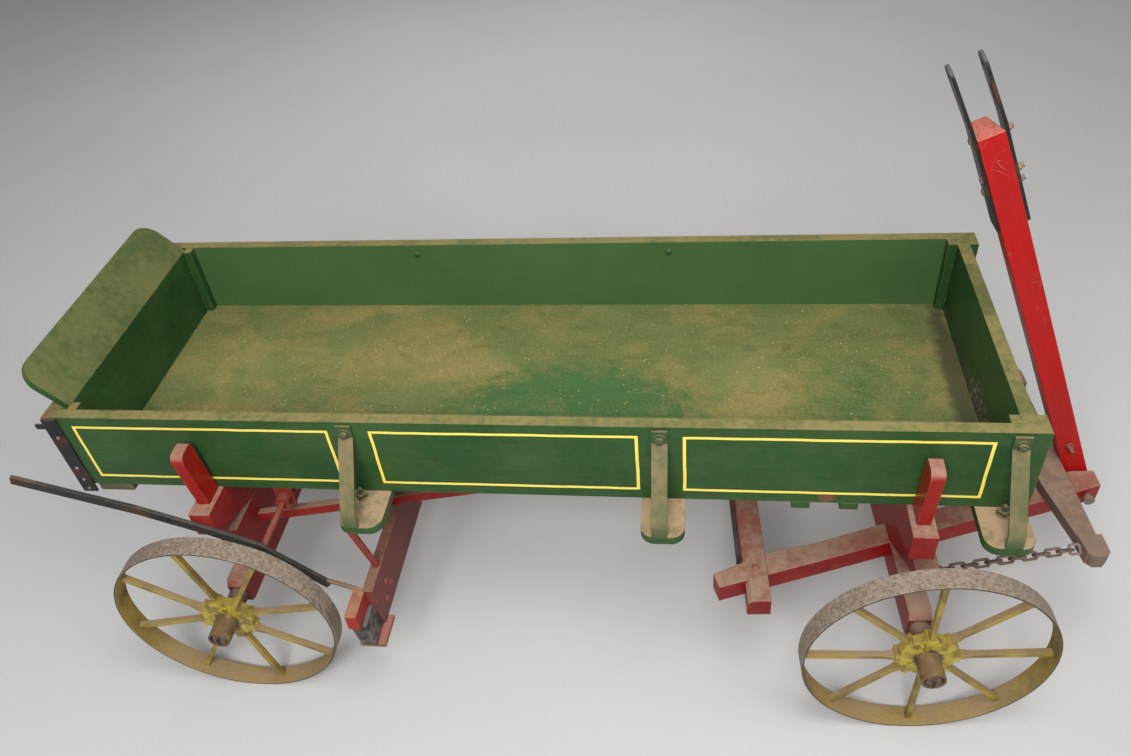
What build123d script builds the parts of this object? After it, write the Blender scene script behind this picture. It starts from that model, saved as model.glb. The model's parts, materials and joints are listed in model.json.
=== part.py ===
from build123d import *
from math import atan2, cos, radians, sin, sqrt, tan
import os

# Small farm wagon: a green box on a red wooden running gear with four iron wheels.
# Millimetres, +X to the front, +Y to the wagon's left, +Z up.
# The origin is the middle of the load floor's top face.

# Box
bed_length = 1830.0
bed_width = 607.0
side_height = 185.0
side_board = 24.0
end_board = 25.0
end_board_inset = 18.0
end_board_rebate = 1.0
floor_thickness = 14.0
floor_board_count = 3
floor_seam = 0.8
cleat_depth = 21.0

# Flared board on the rear end
flare_board = 16.0
flare_width = 111.0
flare_angle = 48.0
flare_side_gap = 11.0
flare_corner_r = 46.0

# Timbers under the box, with their distances from the box's rear or front end
sill_thickness = 18.0
sill_overhang = 94.0
sill_corner_r = 26.0
sill_width = 86.0
middle_sill_width = 80.0
rear_sill_inset = 617.0
middle_sill_inset = 1188.0
front_sill_inset = 47.0
batten_width = 33.0
rear_batten_inset = 1438.0
front_batten_inset = 1524.0
end_sill_width = 74.0
end_sill_inset = 38.0

# Side braces and end straps
brace_width = 29.0
brace_iron = 5.0
brace_height = 178.0
brace_bend_height = 149.0
brace_knee_height = 31.0
brace_foot_width = 90.0
brace_foot_set = 4.0
rear_brace_inset = 605.0
middle_brace_inset = 1183.0
front_brace_inset = 45.0
strap_iron = 4.0
strap_width = 31.0
strap_drop = 20.0
strap_top_gap = 3.0
lug_length = 18.0
lug_height = 12.0
lug_low = 157.0

# Running gear
wheel_diameter = 462.0
wheelbase = 1356.7
rear_overhang = 289.0
front_track = 890.0
rear_track = 868.0
timber_width = 44.0
axle_height = 65.0
axle_below_centre = 30.0
axle_end_cut = 10.0
axle_end_step = 6.0
block_height = 110.0
bolster_height = 107.0
bolster_half_length = 379.0
bolster_end_depth = 60.0
bolster_shoulder = 221.5
rear_axle_shoulder = 328.0
block_end_depth = 14.0
block_half_length = 376.0
block_shoulder = 205.0
rub_iron = 2.7
rub_iron_half = 170.0
turning_gap = 0.3

# Stakes
stake_thickness = 24.0
stake_width = 44.0
stake_gap = 3.0
stake_height = 145.0
stake_lean = 6.5
stake_outer_r = 16.0
stake_inner_r = 7.0
tenon_thickness = 15.0
tenon_width = 28.0
tenon_depth = 40.0

# Reach, hounds and kingpin
reach_width = 40.0
reach_height = 40.0
reach_slot_half = 42.0
reach_slot_gap = 6.0
reach_tail = 60.0
reach_nose = 48.0
kingpin_d = 16.0
kingpin_head_d = 34.0
kingpin_head = 6.0
kingpin_head_gap = 1.0
kingpin_past_axle = 14.0
running = 0.08
rear_hound_width = 16.0
rear_hound_height = 25.0
rear_hound_axle_y = 234.5
rear_hound_angle = 11.6
rear_hound_seam = 1.0
hound_height = 44.0
steer_rest = 3.77

# Outline of a front hound, each place along the front gear from the kingpin and out from its middle
hound_gap = 6.0
hound_nose_x = 440.0
hound_nose_y = 71.0
hound_neck_x = 389.5
hound_neck_y = 88.0
hound_tail_x = 372.0
hound_tail_y = 317.0
hound_heel_x = 382.0
hound_heel_y = 283.0
hound_bend_x = 267.0
hound_bend_y = 231.0
hound_waist_x = 182.0
hound_waist_y = 213.0

# Slider bar, evener and tongue pivot, from the kingpin along the front gear
slider_x = 297.0
slider_width = 46.0
slider_height = 44.0
slider_half_length = 350.0
slider_chamfer = 9.0
slider_iron = 3.0
slider_iron_lip = 9.0
slider_iron_inset = 60.0
evener_front_x = 369.0
evener_mid_width = 61.0
evener_end_width = 30.0
evener_thickness = 25.0
evener_wide_half = 82.0
evener_half_length = 275.0
cap_length = 55.0
cap_iron = 4.0
cap_nose = 8.0
cap_corner = 12.0
tongue_rest_gap = 0.3
pivot_pin_d = 13.0
tongue_pin_half = 96.0
tongue_pin_head = 8.0
tongue_pin_head_d = 22.0

# Tongue
tongue_width = 46.0
tongue_depth = 45.0
tongue_length = 886.0
tongue_lean = 22.95
tongue_top_rise = 13.0
tongue_chip_depth = 16.0
tongue_chip_length = 40.0
tongue_strap = 6.0
tongue_strap_width = 38.0
tongue_strap_on_wood = 190.0
tongue_strap_past_wood = 138.0
tongue_strap_bend = 3.5
hitch_hole_d = 17.0
hitch_hole_inset = 24.0

# Wheels
tyre_width = 42.0
tyre_iron = 5.0
spoke_count = 8
rear_wheel_turn = 32.0
spoke_depth = 18.0
spoke_root = 9.0
spoke_tip = 13.0
spoke_stagger = 3.0
spoke_root_r = 46.0
arm_d = 28.0
collar_d = 40.0
collar_length = 28.0
hub_back = 28.0
hub_nose = 60.0
hub_barrel_r = 22.5
hub_flange_r = 53.0
hub_flange_half = 10.0
hub_cup_r = 18.0
hub_cup_depth = 12.0
hub_inner_gap = 1.0
socket_outer_r = 59.0
socket_width = 19.0
socket_depth = 26.0
nut_flats = 26.0
nut_height = 9.0

# Stay chains
chain_wire = 4.6
chain_pitch = 23.0
chain_width = 18.0
chain_corner = 3.6
chain_link_gap = 0.5
eye_inner_r = 7.0
eye_shank = 7.0
eye_stand_off = 13.0
evener_eye_inset = 28.0
axle_eye_height = 20.0

# Brake
rocker_x = 104.0
rocker_drop = 94.0
rocker_rod_d = 14.0
rocker_roller_d = 32.0
rocker_roller_half = 265.0
rocker_hanger_inset = 24.0
rocker_hanger_width = 40.0
rocker_hanger_iron = 6.0
lever_y = 384.0
lever_bar = 20.0
lever_thickness = 8.0
lever_grip_x = 455.0
lever_grip_z = 191.0
lever_crook_x = 228.0
lever_crook_z = 112.0
lever_neck_x = 103.0
lever_neck_z = 57.5
lever_heel_x = 10.0
lever_heel_z = 10.0
lever_foot_x = 106.0
lever_foot_z = 104.0
link_d = 9.0
link_from_rocker = 98.0
beam_x = 303.0
beam_thickness = 22.0
beam_height = 108.0
beam_top_drop = 180.0
beam_half_length = 412.5
beam_lean = 5.0
shoe_height = 42.0
shoe_depth = 24.0
shoe_past_beam = 62.0
shoe_on_beam = 10.0
pad_drop = 44.0
pad_thickness = 34.0
pad_front = 8.0
pad_slant = 10.0
pad_past_beam = 52.0
pad_on_beam = 29.0
plate_thickness = 9.0
plate_back = 20.0
plate_front = 12.0
plate_past_beam = 50.0
plate_on_beam = 21.0
beam_hanger_d = 14.0
beam_hanger_set = 7.0
beam_hanger_foot_y = 346.0
beam_hanger_top_inset = 11.5

# Heights and places that follow from the sizes above
floor_top = 0.0
bed_z = floor_top - floor_thickness
block_top = bed_z - bolster_height - turning_gap - rub_iron
axle_top = block_top - block_height
axle_z = axle_top - axle_height + axle_below_centre
reach_z = axle_top + turning_gap
bed_rear_x = -bed_length / 2
bed_front_x = bed_length / 2
half_bed = bed_width / 2
inner_half = half_bed - side_board
rear_axle_x = bed_rear_x + rear_overhang
king_x = rear_axle_x + wheelbase
rear_board_x = bed_rear_x + end_board_inset
front_board_x = bed_front_x - end_board_inset - end_board
pivot_z = axle_top - hound_height / 2
pivot_x = evener_front_x + (
    tongue_depth / 2 + tongue_rest_gap + (axle_top + evener_thickness - pivot_z) * sin(radians(tongue_lean))
) / cos(radians(tongue_lean))
tyre_r = wheel_diameter / 2
rim_inner_r = tyre_r - tyre_iron
front_axle_half = front_track / 2 - hub_back - hub_inner_gap - collar_length
rear_axle_half = rear_track / 2 - hub_back - hub_inner_gap - collar_length

front_gear = Pos(king_x, 0, 0) * Rot(0, 0, steer_rest)
parts = {}


def block(x0, x1, y0, y1, z0, z1):
    """A squared timber between two corners."""
    return Pos((x0 + x1) / 2, (y0 + y1) / 2, (z0 + z1) / 2) * Box(abs(x1 - x0), abs(y1 - y0), abs(z1 - z0))


def face_of(points):
    """A flat face inside a closed outline."""
    return make_face(Polyline(*points, close=True))


def along_y(points, y0, y1):
    """An outline in X and Z, run from y0 to y1."""
    return Pos(0, y1, 0) * extrude(Plane.XZ * face_of(points), amount=y1 - y0)


def along_x(points, x0, x1):
    """An outline in Y and Z, run from x0 to x1."""
    return Pos(x0, 0, 0) * extrude(Plane.YZ * face_of(points), amount=x1 - x0)


def along_z(points, z0, z1):
    """An outline in X and Y, run from z0 to z1."""
    return Pos(0, 0, z0) * extrude(face_of(points), amount=z1 - z0)


def both_sides(piece):
    """A piece on the left with its mirror image on the right."""
    return [piece, mirror(piece, Plane.XZ)]


def across(outline):
    """An outline of the left half in Y and Z, closed with its mirror image on the right."""
    return outline + [(-y, z) for y, z in reversed(outline)]


def bar_outline(path, thickness):
    """The outline of a flat bar bent along a path, its thickness to the left of the path."""
    offset = []
    for i, (px, py) in enumerate(path):
        before = path[max(i - 1, 0)]
        after = path[min(i + 1, len(path) - 1)]
        a_in = atan2(py - before[1], px - before[0]) if i else None
        a_out = atan2(after[1] - py, after[0] - px) if i < len(path) - 1 else None
        a_in = a_out if a_in is None else a_in
        a_out = a_in if a_out is None else a_out
        middle = (a_in + a_out) / 2
        reach_out = thickness / cos((a_out - a_in) / 2)
        offset.append((px - reach_out * sin(middle), py + reach_out * cos(middle)))
    return list(path) + list(reversed(offset))


def rod(start, end, diameter):
    """A straight round rod between two points."""
    run = Vector(*end) - Vector(*start)
    return extrude(Plane(origin=start, z_dir=run) * Circle(diameter / 2), amount=run.length)


def ring_y(outer_r, inner_r, y0, y1):
    """A round ring about the Y axis."""
    return Pos(0, y1, 0) * extrude(Plane.XZ * (Circle(outer_r) - Circle(inner_r)), amount=y1 - y0)


def add(name, solids):
    """Keep a node as one solid or as a group of solids that don't touch."""
    solids = solids if isinstance(solids, list) else [solids]
    kept = [s for piece in solids for s in piece.solids()]
    parts[name] = kept[0] if len(kept) == 1 else Compound(children=kept)


def make_box():
    """Floor, sides, ends, corner cleats and the flared board."""
    width = (2 * inner_half - (floor_board_count - 1) * floor_seam) / floor_board_count
    rebate = floor_top - end_board_rebate
    boards = []
    for i in range(floor_board_count):
        y0 = -inner_half + i * (width + floor_seam)
        board = block(rear_board_x, front_board_x + end_board, y0, y0 + width, bed_z, floor_top)
        board -= block(rear_board_x, rear_board_x + end_board, y0, y0 + width, rebate, floor_top)
        board -= block(front_board_x, front_board_x + end_board, y0, y0 + width, rebate, floor_top)
        boards.append(board)
    add("floor_boards", boards)

    top = bed_z + side_height
    left = block(bed_rear_x, bed_front_x, inner_half, half_bed, bed_z, top)
    add("side_board_left", left)
    add("side_board_right", mirror(left, Plane.XZ))
    add("front_board", block(front_board_x, front_board_x + end_board, -inner_half, inner_half, rebate, top))

    # The rear board's top is cut to seat the flared board, whose upper face starts at its inner edge.
    up = (-cos(radians(flare_angle)), sin(radians(flare_angle)))
    under = (-up[1] * flare_board, up[0] * flare_board)
    inner = (rear_board_x + end_board, top)
    heel = (inner[0] + under[0], inner[1] + under[1])
    rise = (heel[0] - rear_board_x) / -up[0]
    back = (rear_board_x, heel[1] + rise * up[1])
    outline = [(rear_board_x, rebate), (inner[0], rebate), inner, heel, back]
    add("rear_board", along_y(outline, -inner_half, inner_half))

    flare_half = inner_half - flare_side_gap
    face = {"x_dir": (up[0], 0, up[1]), "z_dir": (under[0], 0, under[1])}
    plane = Plane(origin=(inner[0], 0, inner[1]), **face)
    sheet = Pos(flare_width / 2, 0) * Rectangle(flare_width, 2 * flare_half)
    corners = sheet.vertices().sort_by(Axis.X)[-2:]
    add("flare_board", extrude(plane * fillet(corners, flare_corner_r), amount=flare_board))

    # Cleats hold the end boards: one inside and one outside each end board, at each side.
    cleats = {
        "front_cleats": [(front_board_x - end_board_inset, floor_top), (front_board_x + end_board, bed_z)],
        "rear_cleats": [(rear_board_x - end_board_inset, bed_z), (rear_board_x + end_board, floor_top)],
    }
    for name, places in cleats.items():
        solids = []
        for x, foot in places:
            solids += both_sides(block(x, x + end_board_inset, inner_half - cleat_depth, inner_half, foot, top))
        add(name, solids)


def make_underframe():
    """Cross sills, end sill, battens, braces and end straps."""
    low = bed_z - sill_thickness
    sill_places = [
        (bed_rear_x + rear_sill_inset, sill_width),
        (bed_rear_x + middle_sill_inset, middle_sill_width),
        (bed_front_x - front_sill_inset, sill_width),
    ]
    sills = []
    for centre, width in sill_places:
        plan = RectangleRounded(width, 2 * (half_bed + sill_overhang), sill_corner_r)
        sills.append(Pos(centre, 0, low) * extrude(plan, amount=sill_thickness))
    add("cross_sills", sills)
    end_x = bed_rear_x + end_sill_inset
    add("end_sill", block(end_x, end_x + end_sill_width, -half_bed, half_bed, low, bed_z))
    battens = []
    for centre in (bed_rear_x + rear_batten_inset, bed_rear_x + front_batten_inset):
        x0 = centre - batten_width / 2
        battens.append(block(x0, x0 + batten_width, -half_bed, half_bed, low, bed_z))
    add("floor_battens", battens)

    # A brace lies on the side, slopes out from below its bolt and stands on the sill's end.
    foot = half_bed + brace_foot_width
    path = [
        (half_bed, bed_z + brace_height),
        (half_bed, bed_z + brace_bend_height),
        (foot - brace_foot_set, bed_z + brace_knee_height),
        (foot, bed_z),
    ]
    outline = bar_outline(path, brace_iron)
    rear = bed_rear_x + rear_brace_inset
    middle = bed_rear_x + middle_brace_inset
    centres = [rear, middle, bed_front_x - front_brace_inset]
    left = [along_x(outline, x - brace_width / 2, x + brace_width / 2) for x in centres]
    add("braces_left", left)
    add("braces_right", [mirror(bar, Plane.XZ) for bar in left])

    face = half_bed + strap_iron
    strap_top = bed_z + side_height - strap_top_gap
    lug_z = bed_z + lug_low
    strap = block(bed_rear_x, bed_rear_x + strap_width, half_bed, face, bed_z - strap_drop, strap_top)
    lug_x = bed_rear_x - lug_length
    strap += block(lug_x, bed_rear_x + strap_iron, half_bed, face, lug_z, lug_z + lug_height)
    add("end_straps", both_sides(strap))


def bolster_outline():
    """Left half of a bolster from its top, with its undercut end."""
    return [
        (bolster_half_length, bed_z),
        (bolster_half_length, bed_z - bolster_end_depth),
        (bolster_shoulder, bed_z - bolster_height),
    ]


def block_outline(top):
    """Left half of the deep timber between a bolster and its axle, with its undercut end."""
    return [
        (block_half_length, top),
        (block_half_length, top - block_end_depth),
        (block_shoulder, axle_top),
    ]


def axle_outline(half_length):
    """Left half of a wooden axle, its ends cut down to the iron collars."""
    low = axle_z - axle_below_centre
    return [
        (half_length - axle_end_cut, axle_top),
        (half_length, axle_z + collar_d / 2),
        (half_length, low + axle_end_step),
        (half_length - axle_end_cut, low),
    ]


def stake_pair(x):
    """Two stakes whose tenons stand in a bolster."""
    y0 = half_bed + stake_gap
    top = bed_z + stake_height
    out = stake_height * tan(radians(stake_lean))
    outline = [(y0, bed_z), (y0 + stake_width, bed_z), (y0 + stake_width + out, top), (y0 + out, top)]
    body = along_x(outline, x - stake_thickness / 2, x + stake_thickness / 2)
    for pick, radius in ((-1, stake_outer_r), (0, stake_inner_r)):
        tops = body.edges().filter_by(Axis.X).group_by(Axis.Z)[-1].sort_by(Axis.Y)
        body = fillet(tops[pick], radius)
    return both_sides(body + stake_tenon(x, 0.0))


def stake_tenon(x, clearance):
    """The tenon of the left stake, or its mortise when given a clearance."""
    y = half_bed + stake_gap + stake_width / 2
    half_x = tenon_thickness / 2 + clearance
    half_y = tenon_width / 2 + clearance
    return block(x - half_x, x + half_x, y - half_y, y + half_y, bed_z - tenon_depth - clearance, bed_z)


def make_bolster(x, bolster_name, stakes_name, bore_d):
    """A bolster under the box with its two stakes, and a bore where the kingpin passes."""
    timber = along_x(across(bolster_outline()), x - timber_width / 2, x + timber_width / 2)
    for mortise in both_sides(stake_tenon(x, running)):
        timber -= mortise
    if bore_d:
        recess_r = kingpin_head_d / 2 + kingpin_head_gap
        timber -= Pos(x, 0, bed_z - bolster_height / 2) * Cylinder(bore_d / 2, 2 * bolster_height)
        timber -= Pos(x, 0, bed_z) * Cylinder(recess_r, 2 * (kingpin_head + kingpin_head_gap))
    add(bolster_name, timber)
    add(stakes_name, stake_pair(x))


def skein_pair(half_length):
    """The iron ends of an axle about its centre: a collar against the wood, the wheel's arm and its nut."""
    collar_end = half_length + collar_length
    nut_y = collar_end + hub_inner_gap + hub_back + hub_nose - hub_cup_depth + hub_inner_gap
    collar = rod((0, half_length, axle_z), (0, collar_end, axle_z), collar_d)
    arm = rod((0, half_length, axle_z), (0, nut_y + nut_height, axle_z), arm_d - 2 * running)
    hexagon = RegularPolygon(nut_flats / 2, 6, major_radius=False)
    flats = extrude(Plane(origin=(0, nut_y, axle_z), z_dir=(0, 1, 0)) * hexagon, amount=2 * nut_height)
    neck = rod((0, nut_y, axle_z), (0, nut_y + 2 * nut_height, axle_z), 2 * arm_d) - flats
    return both_sides(collar + arm - neck)


def make_rear_gear():
    """Rear bolster, axle, hounds and reach."""
    make_bolster(rear_axle_x, "rear_bolster", "rear_stakes", 0)
    x0 = rear_axle_x - timber_width / 2
    x1 = rear_axle_x + timber_width / 2
    half_reach = reach_width / 2
    reach_top = reach_z + reach_height

    # The rear hounds pass through the axle and meet on top of the reach.
    slope = tan(radians(rear_hound_angle))
    half_w = rear_hound_width / 2 / cos(radians(rear_hound_angle))
    meet = rear_hound_seam / 2
    y_at_tail = rear_hound_axle_y + timber_width * slope
    x_meet = x1 + (rear_hound_axle_y - half_w - meet) / slope
    plan = [(x0, y_at_tail - half_w), (x0, y_at_tail + half_w), (x_meet, meet + 2 * half_w), (x_meet, meet)]
    hounds = both_sides(along_z(plan, reach_top, reach_top + rear_hound_height))
    add("rear_hounds", hounds)

    reach = block(x0 - reach_tail, king_x + reach_nose, -half_reach, half_reach, reach_z, reach_top)
    reach -= Pos(king_x, 0, reach_z) * Cylinder(kingpin_d / 2 + running, 4 * reach_height)
    add("reach", reach)

    plank = [(rear_axle_shoulder, bed_z - bolster_height), (rear_axle_shoulder, axle_top)]
    axle = along_x(across(plank + axle_outline(rear_axle_half)), x0, x1)
    passage = block(x0 - reach_tail, x1 + reach_tail, -half_reach, half_reach, reach_z, reach_top)
    for piece in hounds + [passage]:
        axle -= piece
    add("rear_axle", axle)
    add("rear_skeins", [Pos(rear_axle_x, 0, 0) * s for s in skein_pair(rear_axle_half)])


def hound_plan():
    """Plan of the left front hound from the kingpin: splayed behind, parallel beside the tongue."""
    inner = tongue_width / 2 + hound_gap
    return [
        (-hound_tail_x, hound_tail_y),
        (hound_neck_x, hound_neck_y),
        (hound_nose_x, hound_nose_y),
        (hound_nose_x, inner),
        (hound_neck_x, inner),
        (-hound_waist_x, hound_waist_y),
        (-hound_bend_x, hound_bend_y),
        (-hound_heel_x, hound_heel_y),
    ]


def make_front_gear():
    """Everything that turns with the front axle about the kingpin."""
    make_bolster(king_x, "front_bolster", "front_stakes", kingpin_d + 2 * running)
    x0 = -timber_width / 2
    x1 = timber_width / 2
    king_bore = Pos(0, 0, axle_z) * Cylinder(kingpin_d / 2 + running, 4 * (block_height + axle_height))

    plate = block(x0, x1, -rub_iron_half, rub_iron_half, block_top, block_top + rub_iron)
    add("rub_iron", front_gear * (plate - king_bore))

    # The sand board is slotted for the reach, so that it can turn about it.
    board = along_x(across(block_outline(block_top)), x0, x1)
    slot_top = reach_z + reach_height + reach_slot_gap
    board -= block(2 * x0, 2 * x1, -reach_slot_half, reach_slot_half, axle_top, slot_top)
    add("sand_board", front_gear * (board - king_bore))

    hounds = both_sides(along_z(hound_plan(), axle_top - hound_height, axle_top))
    axle = along_x(across(axle_outline(front_axle_half)), x0, x1)
    for piece in hounds:
        axle -= piece
    add("front_axle", front_gear * (axle - king_bore))
    add("front_skeins", [front_gear * s for s in skein_pair(front_axle_half)])

    # The slider bar is half-lapped over the hounds, flush with their tops.
    sx0 = -slider_x - slider_width / 2
    sx1 = -slider_x + slider_width / 2
    low = axle_top - slider_height
    profile = [
        (sx0, low),
        (sx1, low),
        (sx1, axle_top),
        (sx0 + slider_chamfer, axle_top),
        (sx0, axle_top - slider_chamfer),
    ]
    slider = along_y(profile, -slider_half_length, slider_half_length)
    lap = block(2 * sx0, 0, -slider_half_length, slider_half_length, low, axle_top - hound_height / 2)
    upper = slider - lap
    lapped = [piece - upper for piece in hounds]
    for piece in lapped:
        slider -= piece
    add("front_hounds", [front_gear * (piece - pivot_hole()) for piece in lapped])
    add("slider_bar", front_gear * slider)
    iron_half = slider_half_length - slider_iron_inset
    iron = block(sx0 - slider_iron_lip, sx1, -iron_half, iron_half, low - slider_iron, low)
    add("slider_iron", front_gear * iron)

    add("evener", front_gear * along_z(evener_plan(), axle_top, axle_top + evener_thickness))
    add("evener_irons", [front_gear * c for c in both_sides(evener_cap(axle_top))])
    links = stay_chain()
    add("stay_chains", [front_gear * c for c in links + [mirror(c, Plane.XZ) for c in links]])

    end = tongue_pin_half
    pin = rod((pivot_x, -end, pivot_z), (pivot_x, end, pivot_z), pivot_pin_d - 2 * running)
    head = rod((pivot_x, end - tongue_pin_head, pivot_z), (pivot_x, end, pivot_z), tongue_pin_head_d)
    add("tongue_pin", front_gear * (pin + head + mirror(head, Plane.XZ)))

    head_top = bed_z - kingpin_head_gap
    foot = axle_z - axle_below_centre - kingpin_past_axle
    pin = rod((king_x, 0, foot), (king_x, 0, head_top), kingpin_d)
    add("kingpin", pin + rod((king_x, 0, head_top - kingpin_head), (king_x, 0, head_top), kingpin_head_d))


def pivot_hole():
    """The hole for the tongue pin through both hounds and the tongue."""
    return rod((pivot_x, -tongue_pin_half, pivot_z), (pivot_x, tongue_pin_half, pivot_z), pivot_pin_d)


def evener_plan():
    """Plan of the evener: straight in front, tapered behind from its wide middle to its ends."""
    half = [
        (evener_front_x, evener_half_length),
        (evener_front_x - evener_end_width, evener_half_length),
        (evener_front_x - evener_mid_width, evener_wide_half),
    ]
    return half + [(x, -y) for x, y in reversed(half)]


def evener_cap(z0):
    """The iron band round the evener's left end, with the eye that the stay chain hooks into."""
    y0 = evener_half_length - cap_length + cap_iron
    y1 = evener_half_length + cap_iron
    x0 = evener_front_x - evener_end_width - cap_iron
    x1 = evener_front_x + cap_nose
    plan = [
        (x1, y0),
        (x1, y1 - cap_corner),
        (x1 - cap_corner, y1),
        (x0 + cap_corner, y1),
        (x0, y1 - cap_corner),
        (x0 - cap_iron, y0),
    ]
    band = along_z(plan, z0 - cap_iron, z0 + evener_thickness + cap_iron)
    eye = evener_eye()
    band += chain_eye(eye, Vector(x0, eye.Y, eye.Z), axle_eye())
    return band - along_z(evener_plan(), z0, z0 + evener_thickness)


def evener_eye():
    """Centre of the eye behind the evener's left end."""
    x = evener_front_x - evener_end_width - cap_iron - eye_stand_off
    return Vector(x, evener_half_length - evener_eye_inset, axle_top + evener_thickness / 2)


def axle_eye():
    """Centre of the eye on the axle's front face on the left."""
    return Vector(timber_width / 2 + eye_stand_off, evener_half_length, axle_z + axle_eye_height)


def chain_plane(origin, run, turn):
    """A plane whose X axis lies along the chain, turned about it."""
    lift = Vector(0, 0, 1) - run * (run.Z / run.dot(run))
    return Plane(origin=origin, x_dir=run, z_dir=lift) * Rot(turn, 0, 0)


def wire_loop(length, width):
    """A closed loop of square wire with cut outer corners, from the size of its opening."""
    outside = Rectangle(length + 2 * chain_wire, width + 2 * chain_wire)
    outside = chamfer(outside.vertices(), chain_corner)
    return extrude(outside - Rectangle(length, width), amount=chain_wire / 2, both=True)


def chain_eye(centre, foot, other):
    """An eye with its shank, turned a quarter against the link that it holds."""
    ring = wire_loop(2 * eye_inner_r, 2 * eye_inner_r)
    toward = Vector(*foot) - Vector(*centre)
    start = centre + toward * ((eye_inner_r + chain_wire / 2) / toward.length)
    square = Plane(origin=start, z_dir=toward) * Rectangle(eye_shank, eye_shank)
    shank = extrude(square, amount=(foot - start).length)
    return chain_plane(centre, other - centre, 45.0) * ring + shank


def stay_chain():
    """Oval links from the evener's left end to the axle, each turned a quarter against the last."""
    start = evener_eye()
    end = axle_eye()
    run = end - start
    unit = run * (1 / run.length)
    free = run.length - 2 * eye_inner_r
    count = round(free / chain_pitch)
    inside = (free + (count + 1) * chain_link_gap) / count
    pitch = inside - chain_link_gap
    link = wire_loop(inside, chain_width - 2 * chain_wire)
    links = [chain_eye(end, Vector(timber_width / 2, end.Y, end.Z), start)]
    for i in range(count):
        centre = start + unit * (eye_inner_r - chain_link_gap + inside / 2 + i * pitch)
        links.append(chain_plane(centre, run, -45.0 if i % 2 == 0 else 45.0) * link)
    return links


def make_tongue():
    """The raised tongue with its clevis straps, about its pivot between the hounds."""
    half_w = tongue_width / 2
    half_d = tongue_depth / 2
    top = tongue_length + tongue_top_rise

    # Its top slopes up to the left and its front left corner is split off.
    side = [(-half_w, 0), (half_w, 0), (half_w, top), (-half_w, tongue_length)]
    wood = along_x(side, -half_d, half_d)
    chip = [(half_d, -half_w), (half_d, half_w), (half_d - tongue_chip_depth, half_w)]
    wood -= along_z(chip, tongue_length - tongue_chip_length, top)
    wood += rod((0, -half_w, 0), (0, half_w, 0), tongue_depth)
    wood -= rod((0, -tongue_width, 0), (0, tongue_width, 0), pivot_pin_d)
    stand = front_gear * Pos(pivot_x, 0, pivot_z) * Rot(0, -tongue_lean, 0)
    add("tongue_pole", stand * wood)

    # Both straps lie on the wood, lean back above it and end round about the hitch pin's hole.
    strap_r = tongue_strap_width / 2
    bend = radians(tongue_strap_bend)
    ear_length = tongue_strap_past_wood - tongue_top_rise
    hole_rise = ear_length - hitch_hole_inset
    hole_x = -hole_rise * sin(bend)
    hole_z = top + hole_rise * cos(bend)
    past = tongue_depth + tongue_strap
    hole = rod((hole_x - past, 0, hole_z), (hole_x + past, 0, hole_z), hitch_hole_d)
    corners = Rectangle(2 * tongue_strap_width, 2 * strap_r) - Pos(0, -strap_r) * Circle(strap_r)
    straps = []
    for x0 in (-half_d, half_d + tongue_strap):
        tip = (x0 - ear_length * sin(bend), top + ear_length * cos(bend))
        path = [(x0, tongue_length - tongue_strap_on_wood), (x0, top), tip]
        strap = along_y(bar_outline(path, tongue_strap), -strap_r, strap_r)
        end = Pos(tip[0], 0, tip[1]) * Rot(0, -tongue_strap_bend, 0)
        strap -= end * extrude(Plane.YZ * corners, amount=3 * tongue_strap, both=True)
        straps.append(stand * (strap - hole))
    add("tongue_straps", straps)


def hub_solid():
    """The cast hub about +Y, nose outwards, with eight spoke sockets."""
    barrel = rod((0, -hub_back, 0), (0, hub_nose, 0), 2 * hub_barrel_r)
    flange = rod((0, -hub_flange_half, 0), (0, hub_flange_half, 0), 2 * hub_flange_r)
    sockets = None
    half_w = socket_width / 2
    for i in range(spoke_count):
        socket = block(0, socket_outer_r, -socket_depth / 2, socket_depth / 2, -half_w, half_w)
        socket = Rot(0, 360.0 / spoke_count * i, 0) * socket
        sockets = socket if sockets is None else sockets + socket
    hub = barrel + flange + sockets
    hub -= rod((0, -hub_back, 0), (0, hub_nose, 0), arm_d)
    return hub - rod((0, hub_nose - hub_cup_depth, 0), (0, hub_nose, 0), 2 * hub_cup_r)


def spoke_solids():
    """Flat spokes, alternately from the inner and outer ring of sockets to the middle of the tyre."""
    spokes = []
    tip_r = sqrt(rim_inner_r ** 2 - (spoke_tip / 2) ** 2)
    half_root = spoke_root / 2
    half_tip = spoke_tip / 2
    half_depth = spoke_depth / 2
    width = [(spoke_root_r, -half_root), (tip_r, -half_tip), (tip_r, half_tip), (spoke_root_r, half_root)]
    for i in range(spoke_count):
        offset = -spoke_stagger if i % 2 else spoke_stagger
        depth = [
            (spoke_root_r, offset - half_depth),
            (tip_r, -half_depth),
            (tip_r, half_depth),
            (spoke_root_r, offset + half_depth),
        ]
        spoke = along_y(width, -spoke_depth, spoke_depth) & along_z(depth, -spoke_depth, spoke_depth)
        spokes.append(Rot(0, 360.0 / spoke_count * i, 0) * spoke)
    return spokes


def make_wheels():
    """Four wheels: a flat iron tyre, eight flat spokes and a cast hub each."""
    spokes = spoke_solids()
    hub = hub_solid()
    for spoke in spokes:
        hub -= spoke
    tyre = ring_y(tyre_r, rim_inner_r, -tyre_width / 2, tyre_width / 2)
    turned = Rot(0, 0, 180)
    places = {
        "front_left": front_gear * Pos(0, front_track / 2, axle_z),
        "front_right": front_gear * Pos(0, -front_track / 2, axle_z) * turned,
        "rear_left": Pos(rear_axle_x, rear_track / 2, axle_z) * Rot(0, rear_wheel_turn, 0),
        "rear_right": Pos(rear_axle_x, -rear_track / 2, axle_z) * turned * Rot(0, -rear_wheel_turn, 0),
    }
    for name, place in places.items():
        add("tyre_" + name, place * tyre)
        add("spokes_" + name, [place * s for s in spokes])
        add("hub_" + name, place * hub)


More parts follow.
